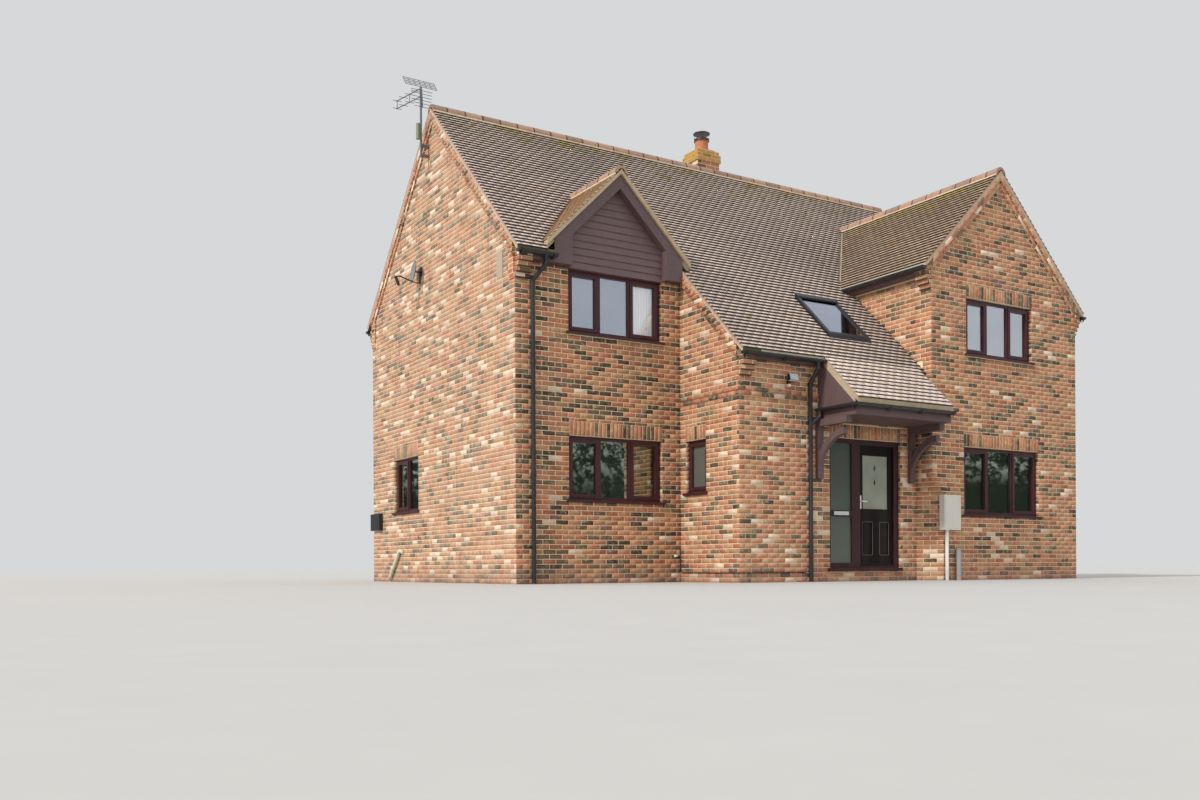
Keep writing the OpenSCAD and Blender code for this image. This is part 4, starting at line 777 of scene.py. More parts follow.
def polygonMesh(name, polygons):
    vertices, faces = [], []
    for points in polygons:
        faces.append(tuple(range(len(vertices), len(vertices) + len(points))))
        vertices += [(u, v, 0.0) for u, v in points]
    return plainMesh(name, vertices, faces)


def plainMesh(name, vertices, faces):
    mesh = bpy.data.meshes.new(name)
    mesh.from_pydata(vertices, [], faces)
    return mesh


def facePlane(origin, along, up):
    # Face coordinates to the house: along the face, up it and outward.
    outward = Vector(along).cross(Vector(up)).normalized()
    return Matrix([*zip(along, up, outward, origin), (0, 0, 0, 1)])


def wallPlane(origin, outward):
    upright = Vector((0, 0, 1))
    return facePlane(origin, upright.cross(Vector(outward).normalized()), upright)


def joinMeshes(name, parts, look, domain="FACE"):
    # One mesh from (mesh, matrix) pairs, with the tone of each brick or tile kept.
    def read(data, label, width, kind=float):
        values = np.empty(len(data) * width, kind)
        data.foreach_get(label, values)
        return values

    points, corners, totals, tones = [], [], [], []
    first = 0
    for mesh, matrix in parts:
        here = read(mesh.vertices, "co", 3).reshape(-1, 3)
        points.append(here @ np.array(matrix.to_3x3()).T + np.array(matrix.translation))
        corners.append(read(mesh.loops, "vertex_index", 1, np.int32) + first)
        totals.append(read(mesh.polygons, "loop_total", 1, np.int32))
        tones.append(read(mesh.attributes["tone"].data, "value", 1))
        first += len(mesh.vertices)
        bpy.data.meshes.remove(mesh)
    points, corners, totals, tones = map(np.concatenate, (points, corners, totals, tones))
    made = bpy.data.meshes.new(name)
    made.vertices.add(len(points))
    made.vertices.foreach_set("co", points.ravel())
    made.loops.add(len(corners))
    made.loops.foreach_set("vertex_index", corners)
    made.polygons.add(len(totals))
    made.polygons.foreach_set("loop_start", np.concatenate(([0], np.cumsum(totals)[:-1])))
    made.update(calc_edges=True)
    made.attributes.new("tone", "FLOAT", domain).data.foreach_set("value", tones)
    made.materials.append(look)
    return made


def addPiece(name, mesh, body="house"):
    piece = bpy.data.objects.new(name, mesh)
    scene.collection.objects.link(piece)
    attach(piece, body)
    return piece


def brickPiece(name, faces, look="wallBrick"):
    # faces is a list of (polygons, plane, relief).
    parts = []
    for number, (polygons, plane, relief) in enumerate(faces):
        if polygons:
            mesh = grow(f"{name}{number}", polygonMesh("brickOutlines", polygons), brickTree,
                        Relief=relief, Spread=brickValues["spread"], Arris=brickValues["arris"],
                        Seed=brickValues["seed"] + number, Material=looks[look])
            parts.append((mesh, plane))
    addPiece(name, joinMeshes(name, parts, looks[look]))


# Windows: wall, middle along the wall, bottom, width, height, soldiers over it
windows = [
    ("front", -3.54, 1.29, 1.73, 0.99, True), ("return", -3.49, 1.435, 0.54, 0.845, True),
    ("wing", 3.27, 1.12, 1.98, 1.16, True), ("west", 1.35, 1.29, 1.20, 0.99, True),
    ("rear", -3.50, 1.29, 1.73, 0.99, True), ("rear", 0.0, 1.29, 1.20, 0.99, True),
    ("rear", 3.50, 1.29, 1.73, 0.99, True), ("east", 0.70, 1.29, 1.20, 0.99, True),
    ("front", -3.54, 3.87, 1.73, 0.97, False), ("wing", 3.22, 3.87, 1.73, 0.97, True),
    ("rear", -3.50, 3.76, 1.20, 0.97, False), ("rear", 0.0, 3.76, 1.20, 0.97, False),
    ("rear", 3.50, 3.76, 1.20, 0.97, False),
]
# Each wall's plane, and which way its along axis runs against the row frame
south, north, west, east = (0, -1, 0), (0, 1, 0), (-1, 0, 0), (1, 0, 0)
wallPlanes = {wall: (wallPlane(origin, outward), sign) for wall, origin, outward, sign in (
    ("front", (0, frontY, 0), south, 1), ("return", (recessX, 0, 0), west, -1),
    ("entrance", (0, entryY, 0), south, 1), ("wing", (0, wingY, 0), south, 1),
    ("wingWest", (wingX, 0, 0), west, -1), ("east", (eastX, 0, 0), east, 1),
    ("rear", (0, rearY, 0), north, -1), ("west", (westX, 0, 0), west, -1))}
openingValues = {"sill": 0.035, "reveal": 0.065, "inset": 0.002, "over": 0.004, "relief": 0.003}
door = {"left": -0.47, "right": 1.12, "low": 0.17, "high": 2.32, "top": 2.54, "reveal": 0.040}
relief = brickValues["relief"]
mainUnder, wingUnder = ridgeZ - house["tileDrop"], wingRidgeZ - house["tileDrop"]
# The bands under the verges: their depth, how far each course stands out, and the relief, reach
# and gaps of their bricks
bandValues = {"low": 0.219, "cut": 0.0775, "outs": (0.045, 0.025), "relief": 0.004, "reach": 7.3,
              "past": 0.3, "gapBelow": 0.006, "gapAbove": 0.004}
stringCourse = {"low": 2.85, "high": 3.0, "proud": 0.018}
entryRun, wingRun = -entryY, -wingY


def wallHoles(wall):
    # (left, right, low, high, clear top, soldiers) of the wall's windows in face coordinates.
    sign = wallPlanes[wall][1]
    found = []
    for name, middle, low, width, height, soldiers in windows:
        if name == wall:
            centre, top = sign * middle, low + height
            found.append((centre - width / 2, centre + width / 2, low - openingValues["sill"],
                          top + (brick["soldier"] if soldiers else 0), top, soldiers))
    return found


def revealFace(depth, low, top, origin, outward):
    # The ends of the bricks down one side of an opening.
    inset = openingValues["inset"]
    return (layCourses((inset, depth - inset, low, top), anchor=-1.0),
            wallPlane(origin, outward), openingValues["relief"])


def dressedWall(name, wall, area, limits=(), extraHoles=(), ends=(None, None), phase=0,
                extraFaces=(), look="wallBrick"):
    plane = wallPlanes[wall][0]
    laid = layCourses(area, [hole[:4] for hole in wallHoles(wall)] + list(extraHoles), limits,
                      phase, ends=ends)
    reveals, depth = [], openingValues["reveal"]
    for left, right, low, high, top, hasSoldiers in wallHoles(wall):
        if hasSoldiers:
            laid += laySoldiers(left, right, top + openingValues["over"], limits)
        for edge, outward in ((left, 1), (right, -1)):
            origin = plane @ Vector((edge, 0, -depth if outward < 0 else 0))
            reveals.append(revealFace(depth, low + 0.04, top, origin,
                                      plane.to_3x3() @ Vector((outward, 0, 0))))
    brickPiece(name, [(laid, plane, relief)] + reveals + list(extraFaces), look)


def gableLimits(apexAt, apexZ):
    # Limits under two slopes that meet over apexAt in face coordinates.
    return [(slopeRatio, 1.0, apexZ - bandValues["low"] + slopeRatio * apexAt),
            (-slopeRatio, 1.0, apexZ - bandValues["low"] - slopeRatio * apexAt)]


# How high the bricks of each wall go where no verge ends them first
tops = {"eaves": 4.85, "gable": 8.1, "eastEaves": 4.65, "return": 4.95, "entrance": 3.413,
        "wingGable": 7.1, "wingWest": 5.10}
dressedWall("frontWallBricks", "front", (westX, recessX, 0.0, tops["eaves"]), ends=(0, None),
            look="frontBrick")
dressedWall("rearWallBricks", "rear", (westX, eastX, 0.0, tops["eaves"]), ends=(0, 0))
dressedWall("westGableBricks", "west", (-rearY, rearY, 0.0, tops["gable"]),
            gableLimits(0, mainUnder), ends=(1, 1), phase=1, look="gableBrick")
overEaves = layCourses((-rearY, rearY, tops["eastEaves"], tops["gable"]), phase=1, ends=(None, 1),
                       limits=gableLimits(0, mainUnder))
dressedWall("eastGableBricks", "east", (wingY, rearY, 0.0, tops["eastEaves"]), phase=1,
            ends=(1, 1), extraFaces=[(overEaves, wallPlanes["east"][0], relief)])

# String courses stand forward on the return and entrance walls
bandHeights, proud = (stringCourse["low"], stringCourse["high"]), stringCourse["proud"]
dressedWall("returnWallBricks", "return", (rearY, entryRun, 0.0, tops["return"]), phase=1,
            ends=(None, 1), limits=[(slopeRatio, 1.0, mainUnder - bandValues["low"])],
            extraHoles=[(rearY, entryRun, *bandHeights)],
            extraFaces=[(layCourses((rearY, entryRun, *bandHeights), ends=(None, 1), phase=1,
                                    turned=proud), wallPlanes["return"][0], proud)])
doorSides = [revealFace(door["reveal"], door["low"], door["high"], (x, y, 0), outward)
             for x, y, outward in ((door["left"], entryY, east),
                                   (door["right"], entryY + door["reveal"] - 0.002, west))]
dressedWall("entranceWallBricks", "entrance", (recessX, wingX, 0.0, tops["entrance"]),
            ends=(0, None), extraHoles=[(door["left"], door["right"], door["low"], door["top"]),
                                        (recessX, wingX, *bandHeights)],
            extraFaces=doorSides + [
                (laySoldiers(door["left"], door["right"], door["high"] + openingValues["over"]),
                 wallPlanes["entrance"][0], relief),
                (layCourses((recessX, wingX, *bandHeights), ends=(0, None), turned=proud),
                 wallPlanes["entrance"][0], proud)])

# The wing's splayed corner steps out to square over three courses
splay = {"across": 0.27, "back": 0.35, "top": 1.5, "steps": (0.75, 0.5, 0.25)}
splayFaces, wingHoles, sideHoles = [], [], []
low, high = 0.0, splay["top"]
for share in (1.0, *splay["steps"]):
    across, back = splay["across"] * share, splay["back"] * share
    plane = wallPlane((wingX, wingY + back, 0), (-back, -across, 0))
    splayFaces.append((layCourses((0, math.hypot(across, back), low, high), phase=1), plane, relief))
    wingHoles.append((wingX, wingX + across, low, high))
    sideHoles.append((wingRun - back, wingRun, low, high))
    low, high = high, high + brick["course"]
dressedWall("wingFrontBricks", "wing", (wingX, eastX, 0.0, tops["wingGable"]),
            gableLimits(wingRidgeX, wingUnder), extraHoles=wingHoles, ends=(0, 0), look="wingBrick")
# The main slope runs down along the wing's west wall: a hole at its eaves, and bricks over it
catslide = {"eaves": (entryRun, 4.75, 3.41, 3.70), "clear": 0.02,
            "over": (3.09, entryRun, 3.6, tops["wingWest"])}
overSlope = layCourses(catslide["over"], phase=1, anchor=entryRun,
                       limits=[(-slopeRatio, -1.0, -ridgeZ - catslide["clear"])])
dressedWall("wingWestBricks", "wingWest", (entryRun, wingRun, 0.0, tops["wingWest"]), phase=1,
            ends=(None, 1), extraHoles=sideHoles + [catslide["eaves"]],
            extraFaces=splayFaces + [(overSlope, wallPlanes["wingWest"][0], relief)])


def rakedBand(apex, along, outward, limits):
    # Two courses of bricks along a slope. limits are in the row frame: (direction, distance).
    faces, cut = [], bandValues["cut"]
    outward, along = Vector(outward), Vector(along).normalized()
    up = outward.cross(along)
    if up.z < 0:
        along, up = -along, -up
    for number, out in enumerate(bandValues["outs"]):
        plane = facePlane(Vector(apex) + outward * out, along, up)
        edges = []
        for direction, distance in limits:
            turn = plane.to_3x3().transposed() @ Vector(direction)
            edges.append((turn.x, turn.y, distance - Vector(direction).dot(plane.translation)))
        left, right = -bandValues["past"], bandValues["reach"]
        if along.z >= 0:
            left, right = -right, -left
        laid = []
        for start, stop in bondPieces(left, right, 0.0, number):
            clipBrick(laid, start, stop, -cut * (number + 1) + bandValues["gapBelow"],
                      -cut * number - bandValues["gapAbove"], edges, 0.0006)
        faces.append((laid, plane, bandValues["relief"]))
    return faces


bandFaces = []
for side in (-1, 1):
    for front in (-1, 1):
        if (side, front) != (-1, -1):
            bandFaces += rakedBand((eastX * side, 0, mainUnder), (0, front * slopeCos, -slopeSin),
                                   (side, 0, 0), [((0, -front, 0), 0.0), ((0, front, 0), rearY)])
    edge = abs((wingX if side < 0 else eastX) - wingRidgeX)
    bandFaces += rakedBand((wingRidgeX, wingY, wingUnder), (side * slopeCos, 0, -slopeSin), south, [
        ((-side, 0, 0), -side * wingRidgeX), ((side, 0, 0), side * wingRidgeX + edge)])
brickPiece("vergeBandBricks", bandFaces, "bandBrick")

# The bands on the west gable's front slope and on the return keep level courses
levelBand = [(slopeRatio, 1.0, mainUnder),
             (-slopeRatio, -1.0, bandValues["low"] + bandValues["gapAbove"] - mainUnder)]
for name, area, wallX, anchor, ends, look in (
        ("westVergeBricks", (0.0, rearY, 4.9, 8.2), westX, -rearY, (None, None), "gableBrick"),
        ("returnVergeBricks", (3.12, entryRun, 3.3, 5.15), recessX, rearY, (None, 1), "wallBrick")):
    laid = layCourses(area, limits=levelBand, phase=1, anchor=anchor, ends=ends)
    plane = wallPlane((wallX - bandValues["outs"][0], 0, 0), west)
    brickPiece(name, [(laid, plane, bandValues["relief"])], look)
print("wall bricks laid")


def tileMesh():
    # A wedge with a cambered back: its tail on the first axis, its head up the second one.
    half, length = tileValues["width"] / 2, tileValues["gauge"] + tileValues["lap"]
    camber, foot = tileValues["camber"], -0.001
    backs = [(-half, 0.0), (-half / 3, camber), (half / 3, camber), (half, 0.0)]
    vertices = []
    for y, thick in ((0.0, tileValues["tail"]), (length, 0.006)):
        vertices += [(x, y, thick + z) for x, z in backs] + [(-half, y, foot), (half, y, foot)]
    faces = [(k, k + 1, k + 7, k + 6) for k in range(3)]
    faces += [(4, 10, 11, 5), (4, 0, 6, 10), (3, 5, 11, 9), (4, 5, 3, 2, 1, 0), (6, 7, 8, 9, 11, 10)]
    return plainMesh("plainTile", vertices, faces)


tileTree, net, given = growthTree("tileCourses", {"Tile": "Object", "Jitter": "Float"})
source = net.add("GeometryNodeObjectInfo", {"Object": given["Tile"]})
turns = {index: net.add("ShaderNodeVectorMath", {0: (0.7 * way, way, way), "Scale": given["Jitter"]},
                        operation="SCALE").outputs[0] for index, way in enumerate((-1.0, 1.0))}
turn = net.add("FunctionNodeRandomValue", {**turns, "Seed": given["Seed"]}, data_type="FLOAT_VECTOR")
placed = net.add("GeometryNodeInstanceOnPoints", {
    "Points": given["Geometry"], "Instance": source.outputs["Geometry"], "Rotation": turn.outputs[0]})
endTree(net, storeTone(net, placed.outputs[0], net.plus(given["Seed"], 1.0), "INSTANCE"), given)
tileSource = bpy.data.objects.new("plainTileSource", tileMesh())


def cutTile(place, limits):
    # The vertices and faces of one tile at a place, cut back to the limits.
    solid = bmesh.new()
    solid.from_mesh(tileSource.data)
    bmesh.ops.translate(solid, verts=solid.verts, vec=(*place, 0))
    for a, b, c in limits:
        length = math.hypot(a, b)
        normal = Vector((a / length, b / length, 0))
        bmesh.ops.bisect_plane(solid, geom=solid.verts[:] + solid.edges[:] + solid.faces[:],
                               dist=1e-5, plane_co=normal * (c / length), plane_no=normal,
                               clear_outer=True)
        edges = [edge for edge in solid.edges if edge.is_boundary]
        if edges:
            bmesh.ops.holes_fill(solid, edges=edges)
        if not solid.verts:
            break
    vertices = [tuple(vertex.co) for vertex in solid.verts]
    solid.verts.index_update()
    faces = [tuple(vertex.index for vertex in face.verts) for face in solid.faces]
    solid.free()
    return vertices, faces


def tilePieces(corners, edges, drops):
    # The lists of limits that cut one tile into the pieces that stay: none, if it lies outside.
    def outside(limit):
        return [limit[0] * u + limit[1] * v > limit[2] + 1e-6 for u, v in corners]

    sides = [outside(edge) for edge in edges]
    if any(all(side) for side in sides):
        return []
    pieces = [[edge for edge, side in zip(edges, sides) if any(side)]]
    for drop in drops:
        sides = [outside(edge) for edge in drop]
        if any(all(side) for side in sides):
            continue
        split, inside = [], []
        for edge, side in zip(drop, sides):
            if any(side):
                split.append(inside + [tuple(-value for value in edge)])
            inside = inside + [edge]
        pieces = [piece + part for piece in pieces for part in split]
    return pieces


def layTiles(name, slopes, look):
    # slopes: (plane, lowest course, gauge, keeps, drops). A keep is (left, right, low, high,
    # limits) and a drop is a list of limits, all in slope coordinates.
    parts = []
    half, length = tileValues["width"] / 2, tileValues["gauge"] + tileValues["lap"]
    for number, (plane, eaves, gauge, keeps, drops) in enumerate(slopes):
        whole, cutVertices, cutFaces, cutTones = [], [], [], []
        for left, right, low, high, limits in keeps:
            edges = [(-1, 0, -left), (1, 0, right), (0, 1, high)] + limits
            row = math.ceil((low - eaves) / gauge - 0.02)
            while eaves + row * gauge < high - 0.02:
                tail = eaves + row * gauge
                column = math.floor(left / tileValues["pitch"]) - 1
                while True:
                    middle = (column + 0.5 * (row % 2)) * tileValues["pitch"]
                    column += 1
                    if middle + half < left:
                        continue
                    if middle - half > right:
                        break
                    corners = [(middle + u * half, tail + v)
                               for u, v in ((-1, 0), (1, 0), (1, length), (-1, length))]
                    shade = random.Random(f"{name}{number}{row}{round(middle, 3)}").random()
                    for piece in tilePieces(corners, edges, drops):
                        if not piece:
                            whole.append((middle, tail, 0.0))
                            continue
                        vertices, faces = cutTile((middle, tail), piece)
                        if len(faces) > 3:
                            first = len(cutVertices)
                            cutVertices += vertices
                            cutFaces += [tuple(first + k for k in face) for face in faces]
                            cutTones += [shade] * len(vertices)
                row += 1
        grown = grow(f"{name}{number}", plainMesh("tilePlaces", whole, []), tileTree,
                     Tile=tileSource, Jitter=tileValues["jitter"],
                     Seed=tileValues["seed"] + number, Material=looks[look])
        parts.append((grown, plane))
        if cutFaces:
            cutMesh = plainMesh("cutTiles", cutVertices, cutFaces)
            cutMesh.attributes.new("tone", "FLOAT", "POINT").data.foreach_set("value", cutTones)
            parts.append((cutMesh, plane))
    addPiece(name, joinMeshes(name, parts, looks[look], "POINT"))


def slopeAt(run):
    # Slope coordinate of a place that lies run metres in plan from the ridge.
    return -run / slopeCos


# Eaves are runs in plan from the ridge, and reach is how far a side roof goes along its ridge
mainRoof = {"verge": 5.37, "return": -2.36, "eaves": 3.26, "lowerEaves": 4.75, "canopyEaves": 5.48,
            "canopy": (-0.72, 1.39), "canopyCourses": 10, "rooflight": (-0.20, 0.76, 3.46, 4.31),
            "stack": (0.45, 1.01, 0.13, 0.61)}
sideRoofs = {
    "wing": {"x": wingRidgeX, "z": wingRidgeZ, "eaves": (1.91, 2.29), "reach": (1.0, 4.99),
             "gap": 0.035, "piece": "wingRoofTiles", "look": "wingTile"},
    "dormer": {"x": -3.54, "z": 6.46, "eaves": (1.32, 1.32), "reach": (1.7, 3.26), "gap": 0.02,
               "piece": "dormerTiles", "look": "dormerTile"},
}
for roof in sideRoofs.values():
    roof["start"] = (ridgeZ - roof["z"]) / slopeRatio
wing, dormer = sideRoofs["wing"], sideRoofs["dormer"]
gauge = tileValues["gauge"]
upperTail, lowerTail, canopyTail = (slopeAt(mainRoof[key])
                                    for key in ("eaves", "lowerEaves", "canopyEaves"))


def boxDrop(left, right, high, low):
    # Leaves out what lies between two places across the slope and two runs.
    return [(-1, 0, -left), (1, 0, right), (0, 1, slopeAt(high)), (0, -1, -slopeAt(low))]


# In plan the valleys run at 45 degrees: run <= start + |x - ridge| - gap
dormerDrops = [[(side, 0, run + side * dormer["x"]), (-side, 0, -side * dormer["x"]),
                (side, slopeCos, -dormer["start"] + side * dormer["x"] + dormer["gap"])]
               for side, run in zip((-1, 1), dormer["eaves"])]
dormerDrops[1].append((0, -1, -upperTail))
frontKeeps = [
    (-mainRoof["verge"], mainRoof["return"], upperTail, 0, []),
    (mainRoof["return"], wingX, lowerTail, 0, []),
    (wingX, wing["x"], slopeAt(rearY), 0, [(1, -slopeCos, wing["start"] + wing["x"] - wing["gap"])]),
    (wing["x"], mainRoof["verge"], slopeAt(rearY), 0,
     [(-1, -slopeCos, wing["start"] - wing["x"] - wing["gap"])]),
]
canopyGauge = (mainRoof["canopyEaves"] - mainRoof["lowerEaves"]) / slopeCos / mainRoof["canopyCourses"]
frontSlope = facePlane((0, 0, ridgeZ), (1, 0, 0), (0, slopeCos, slopeSin))
rearSlope = facePlane((0, 0, ridgeZ), (-1, 0, 0), (0, -slopeCos, slopeSin))
# The rear slope's first axis runs against the row frame, so the stack's places change their sign
stackLeft, stackRight, stackHigh, stackLow = mainRoof["stack"]
layTiles("mainRoofTiles", [
    (frontSlope, lowerTail, gauge, frontKeeps, dormerDrops + [boxDrop(*mainRoof["rooflight"])]),
    (frontSlope, canopyTail, canopyGauge,
     [(*mainRoof["canopy"], canopyTail, lowerTail - 0.001, [])], []),
    (rearSlope, upperTail, gauge, [(-mainRoof["verge"], mainRoof["verge"], upperTail, 0, [])],
     [boxDrop(-stackRight, -stackLeft, stackHigh, stackLow)]),
], "roofTile")
for roof in sideRoofs.values():
    slopes = []
    for side, run in zip((-1, 1), roof["eaves"]):
        plane = facePlane((roof["x"], 0, roof["z"]), (0, side, 0), (-side * slopeCos, 0, slopeSin))
        left, right = sorted(-side * reach for reach in roof["reach"])
        valley = (side, -slopeCos, -roof["start"] - roof["gap"])
        slopes.append((plane, slopeAt(run), gauge, [(left, right, slopeAt(run), 0, [valley])], []))
    layTiles(roof["piece"], slopes, roof["look"])
bpy.data.objects.remove(tileSource)
print("roof tiles laid")


# Plain closed solids gathered into one mesh
class Solids:
    def __init__(self):
        self.vertices, self.faces = [], []

    def box(self, x0, x1, y0, y1, z0, z1):
        first = len(self.vertices)
        self.vertices += [(x, y, z) for z in (z0, z1) for y in (y0, y1) for x in (x0, x1)]
        self.faces += [tuple(first + k for k in face) for face in (
            (0, 2, 3, 1), (4, 5, 7, 6), (0, 1, 5, 4), (2, 6, 7, 3), (0, 4, 6, 2), (1, 3, 7, 5))]

    # A round bar along a line of points
    def tube(self, points, radius, sides=10):
        points = [Vector(point) for point in points]
        first = len(self.vertices)
        across = (points[1] - points[0]).normalized().orthogonal().normalized()
        for number, point in enumerate(points):
            before, after = points[max(0, number - 1)], points[min(len(points) - 1, number + 1)]
            along = (after - before).normalized()
            across = (across - along * across.dot(along)).normalized()
            over = along.cross(across)
            for k in range(sides):
                angle = 2 * math.pi * k / sides
                ray = math.cos(angle) * across + math.sin(angle) * over
                self.vertices.append(tuple(point + radius * ray))
        for start in range(first, first + (len(points) - 1) * sides, sides):
            for k in range(sides):
                after = (k + 1) % sides
                self.faces.append((start + k, start + after, start + sides + after,
                                   start + sides + k))
        last = first + (len(points) - 1) * sides
        self.faces += [tuple(range(first + sides - 1, first - 1, -1)), tuple(range(last, last + sides))]

    # A flat band that follows points whose outward directions are given
    def strap(self, points, outward, across, width, thick):
        first, across = len(self.vertices), Vector(across) * width / 2
        for point, normal in zip(points, outward):
            point, normal = Vector(point), Vector(normal) * thick
            self.vertices += [tuple(place) for place in (
                point - across, point + across, point + across + normal, point - across + normal)]
        turned = (Vector(points[1]) - Vector(points[0])).dot(across.cross(Vector(outward[0]))) < 0
        made = [(low + k, low + (k + 1) % 4, low + 4 + (k + 1) % 4, low + 4 + k)
                for low in range(first, first + 4 * len(points) - 4, 4) for k in range(4)]
        last = first + 4 * len(points) - 4
        made += [(first + 3, first + 2, first + 1, first), tuple(range(last, last + 4))]
        self.faces += [tuple(reversed(face)) if turned else face for face in made]

    def piece(self, name, look, slotName, smooth=False, body="house"):
        made = plainMesh(name, self.vertices, self.faces)
        made.materials.append(looks[look])
        if smooth:
            made.polygons.foreach_set("use_smooth", [len(face) == 4 for face in self.faces])
        addPiece(name, made, body)


# Straps that hold the gutters: axis, start, stop, middle across, middle height, lip
gutterRuns = [
    (0, -5.376, -4.714, -3.28, 4.925, 0.03), (0, -5.376, 5.376, 3.28, 4.925, 0.03),
    (0, -0.836, 1.39, -5.50, 2.705, 0.03), (0, -2.366, -0.720, -4.77, 3.461, 0.03),
    (1, -4.996, -3.10, 1.29, 5.225, 0.0), (1, -4.996, -3.064, 5.53, 4.822, 0.03),
]
gutterValues = {"radius": 0.0562, "spacing": 0.85, "width": 0.024, "thick": 0.003, "inset": 0.06}
straps = Solids()
for axis, start, stop, middle, height, lip in gutterRuns:
    count = max(1, round((stop - start) / gutterValues["spacing"]))
    arc = [math.radians(step) for step in range(180, 361, 15)]
    profile = [(math.cos(angle), math.sin(angle)) for angle in arc]
    places = [(c * gutterValues["radius"], n * gutterValues["radius"]) for c, n in profile]
    if lip:
        places = [(places[0][0], lip)] + places + [(places[-1][0], lip)]
        profile = [profile[0]] + profile + [profile[-1]]
    for number in range(count + 1):
        at = (start + gutterValues["inset"]
              + (stop - start - 2 * gutterValues["inset"]) * number / count)
        if axis == 0:
            points = [(at, middle + u, height + v) for u, v in places]
            outward, across = [(0, u, v) for u, v in profile], (1, 0, 0)
        else:
            points = [(middle + u, at, height + v) for u, v in places]
            outward, across = [(u, 0, v) for u, v in profile], (0, 1, 0)
        straps.strap(points, outward, across, gutterValues["width"], gutterValues["thick"])
straps.piece("gutterStraps", "blackPlastic", "black_plastic")

# Sockets and clips down the pipes: x, y, direction to the wall, top
pipeRuns = [
    (-5.045, -3.119, (0, 1), 4.55), (-0.915, -4.639, (0, 1), 3.05), (-4.62, 3.119, (0, -1), 4.55),
    (4.62, 3.119, (0, -1), 4.55), (5.369, -3.57, (-1, 0), 4.40),
]
pipeValues = {"socket": 0.0405, "socketLength": 0.075, "sockets": (1.62, 3.30), "clip": 0.039,
              "clipHeight": 0.022, "firstClip": 0.55, "spacing": 1.45, "toWall": 0.049, "half": 0.03}
clips = Solids()
for x, y, toWall, top in pipeRuns:
    height = pipeValues["firstClip"]
    wide, deep = (pipeValues["half"] if share == 0 else 0.0 for share in toWall)
    endX, endY = x + toWall[0] * pipeValues["toWall"], y + toWall[1] * pipeValues["toWall"]
    while height < top:
        above = height + pipeValues["clipHeight"]
        clips.tube([(x, y, height), (x, y, above)], pipeValues["clip"], 20)
        clips.box(min(x, endX) - wide, max(x, endX) + wide, min(y, endY) - deep,
                  max(y, endY) + deep, height, above)
        height += pipeValues["spacing"]
    for joint in pipeValues["sockets"]:
        if joint < top:
            clips.tube([(x, y, joint), (x, y, joint + pipeValues["socketLength"])],
                       pipeValues["socket"], 20)
clips.piece("pipeClips", "blackPlastic", "black_plastic")

# Mortar beads under the ridge tiles: start, stop, and the x and height of a side roof's ridge
beadRuns = ((-5.37, 5.37, None), (-4.99, -1.12, (wing["x"], wing["z"])),
            (-3.26, -1.75, (dormer["x"], dormer["z"])))
beadValues = {"out": 0.124, "drop": 0.094, "mainZ": 8.113, "waver": 0.003, "radius": 0.016,
              "steps": 40}
bedding = Solids()
for side in (-1, 1):
    out = side * beadValues["out"]
    for low, high, at in beadRuns:
        chance = random.Random(side * 10 + low)
        line = []
        for k in range(beadValues["steps"] + 1):
            step = low + (high - low) * k / beadValues["steps"]
            waver = chance.uniform(-beadValues["waver"], beadValues["waver"])
            line.append((at[0] + out, step, at[1] - beadValues["drop"] + waver) if at else
                        (step, out, beadValues["mainZ"] + waver))
        bedding.tube(line, beadValues["radius"], 8)
bedding.piece("ridgeBedding", "mortarBead", "brickwork", True)

# A cable clipped along the foot of the return and the entrance wall
cableValues = {"radius": 0.006, "clips": 5, "clipWidth": 0.012, "out": 0.019, "low": 0.142,
               "high": 0.160, "returnFrom": -3.30, "returnStep": -0.28, "entryFrom": -2.15,
               "entryStep": 0.27}
cable = Solids()
cable.tube([(-2.33, -3.081, 0.56), (-2.33, -3.081, 0.19), (-2.325, -3.09, 0.165),
            (-2.321, -3.13, 0.15), (-2.321, -4.585, 0.15), (-2.318, -4.600, 0.15),
            (-2.30, -4.601, 0.15), (-1.00, -4.601, 0.152)], cableValues["radius"])
for number in range(cableValues["clips"]):
    y = cableValues["returnFrom"] + number * cableValues["returnStep"]
    x = cableValues["entryFrom"] + number * cableValues["entryStep"]
    for sides in ((recessX - cableValues["out"], recessX, y, y + cableValues["clipWidth"]),
                  (x, x + cableValues["clipWidth"], entryY - cableValues["out"], entryY)):
        cable.box(*sides, cableValues["low"], cableValues["high"])
cable.piece("clippedCable", "blackPlastic", "black_plastic", True)

# A small overflow pipe with its collar, and a lagged pipe that bends down to the ground
overflow = Solids()
overflow.tube([(-2.43, -3.072, 0.43), (-2.43, -3.14, 0.43), (-2.435, -3.155, 0.428),
               (-2.50, -3.16, 0.42)], 0.011, 14)
overflow.tube([(-2.43, -3.074, 0.43), (-2.43, -3.078, 0.43)], 0.024, 18)
overflow.piece("overflowPipe", "whitePlastic", "cream_plastic", True)
lagged = Solids()
lagged.tube([(-5.318, 1.50, 0.53), (-5.345, 1.505, 0.555), (-5.362, 1.55, 0.58),
             (-5.366, 1.62, 0.55), (-5.366, 1.69, 0.47), (-5.366, 1.77, 0.38), (-5.366, 1.90, 0.26),
             (-5.366, 2.02, 0.14), (-5.366, 2.12, 0.035)], 0.03, 16)
lagged.piece("laggedPipe", "lagging", "cream_plastic", True)

# The meter box's door with its frame and lock
meter = Solids()
meter.box(1.69, 2.05, -5.054, -5.050, 0.865, 1.415)
meter.box(1.705, 2.035, -5.057, -5.054, 0.88, 1.40)
meter.tube([(1.735, -5.057, 1.14), (1.735, -5.061, 1.14)], 0.012, 16)
meter.piece("meterDoor", "creamPlastic", "cream_plastic")

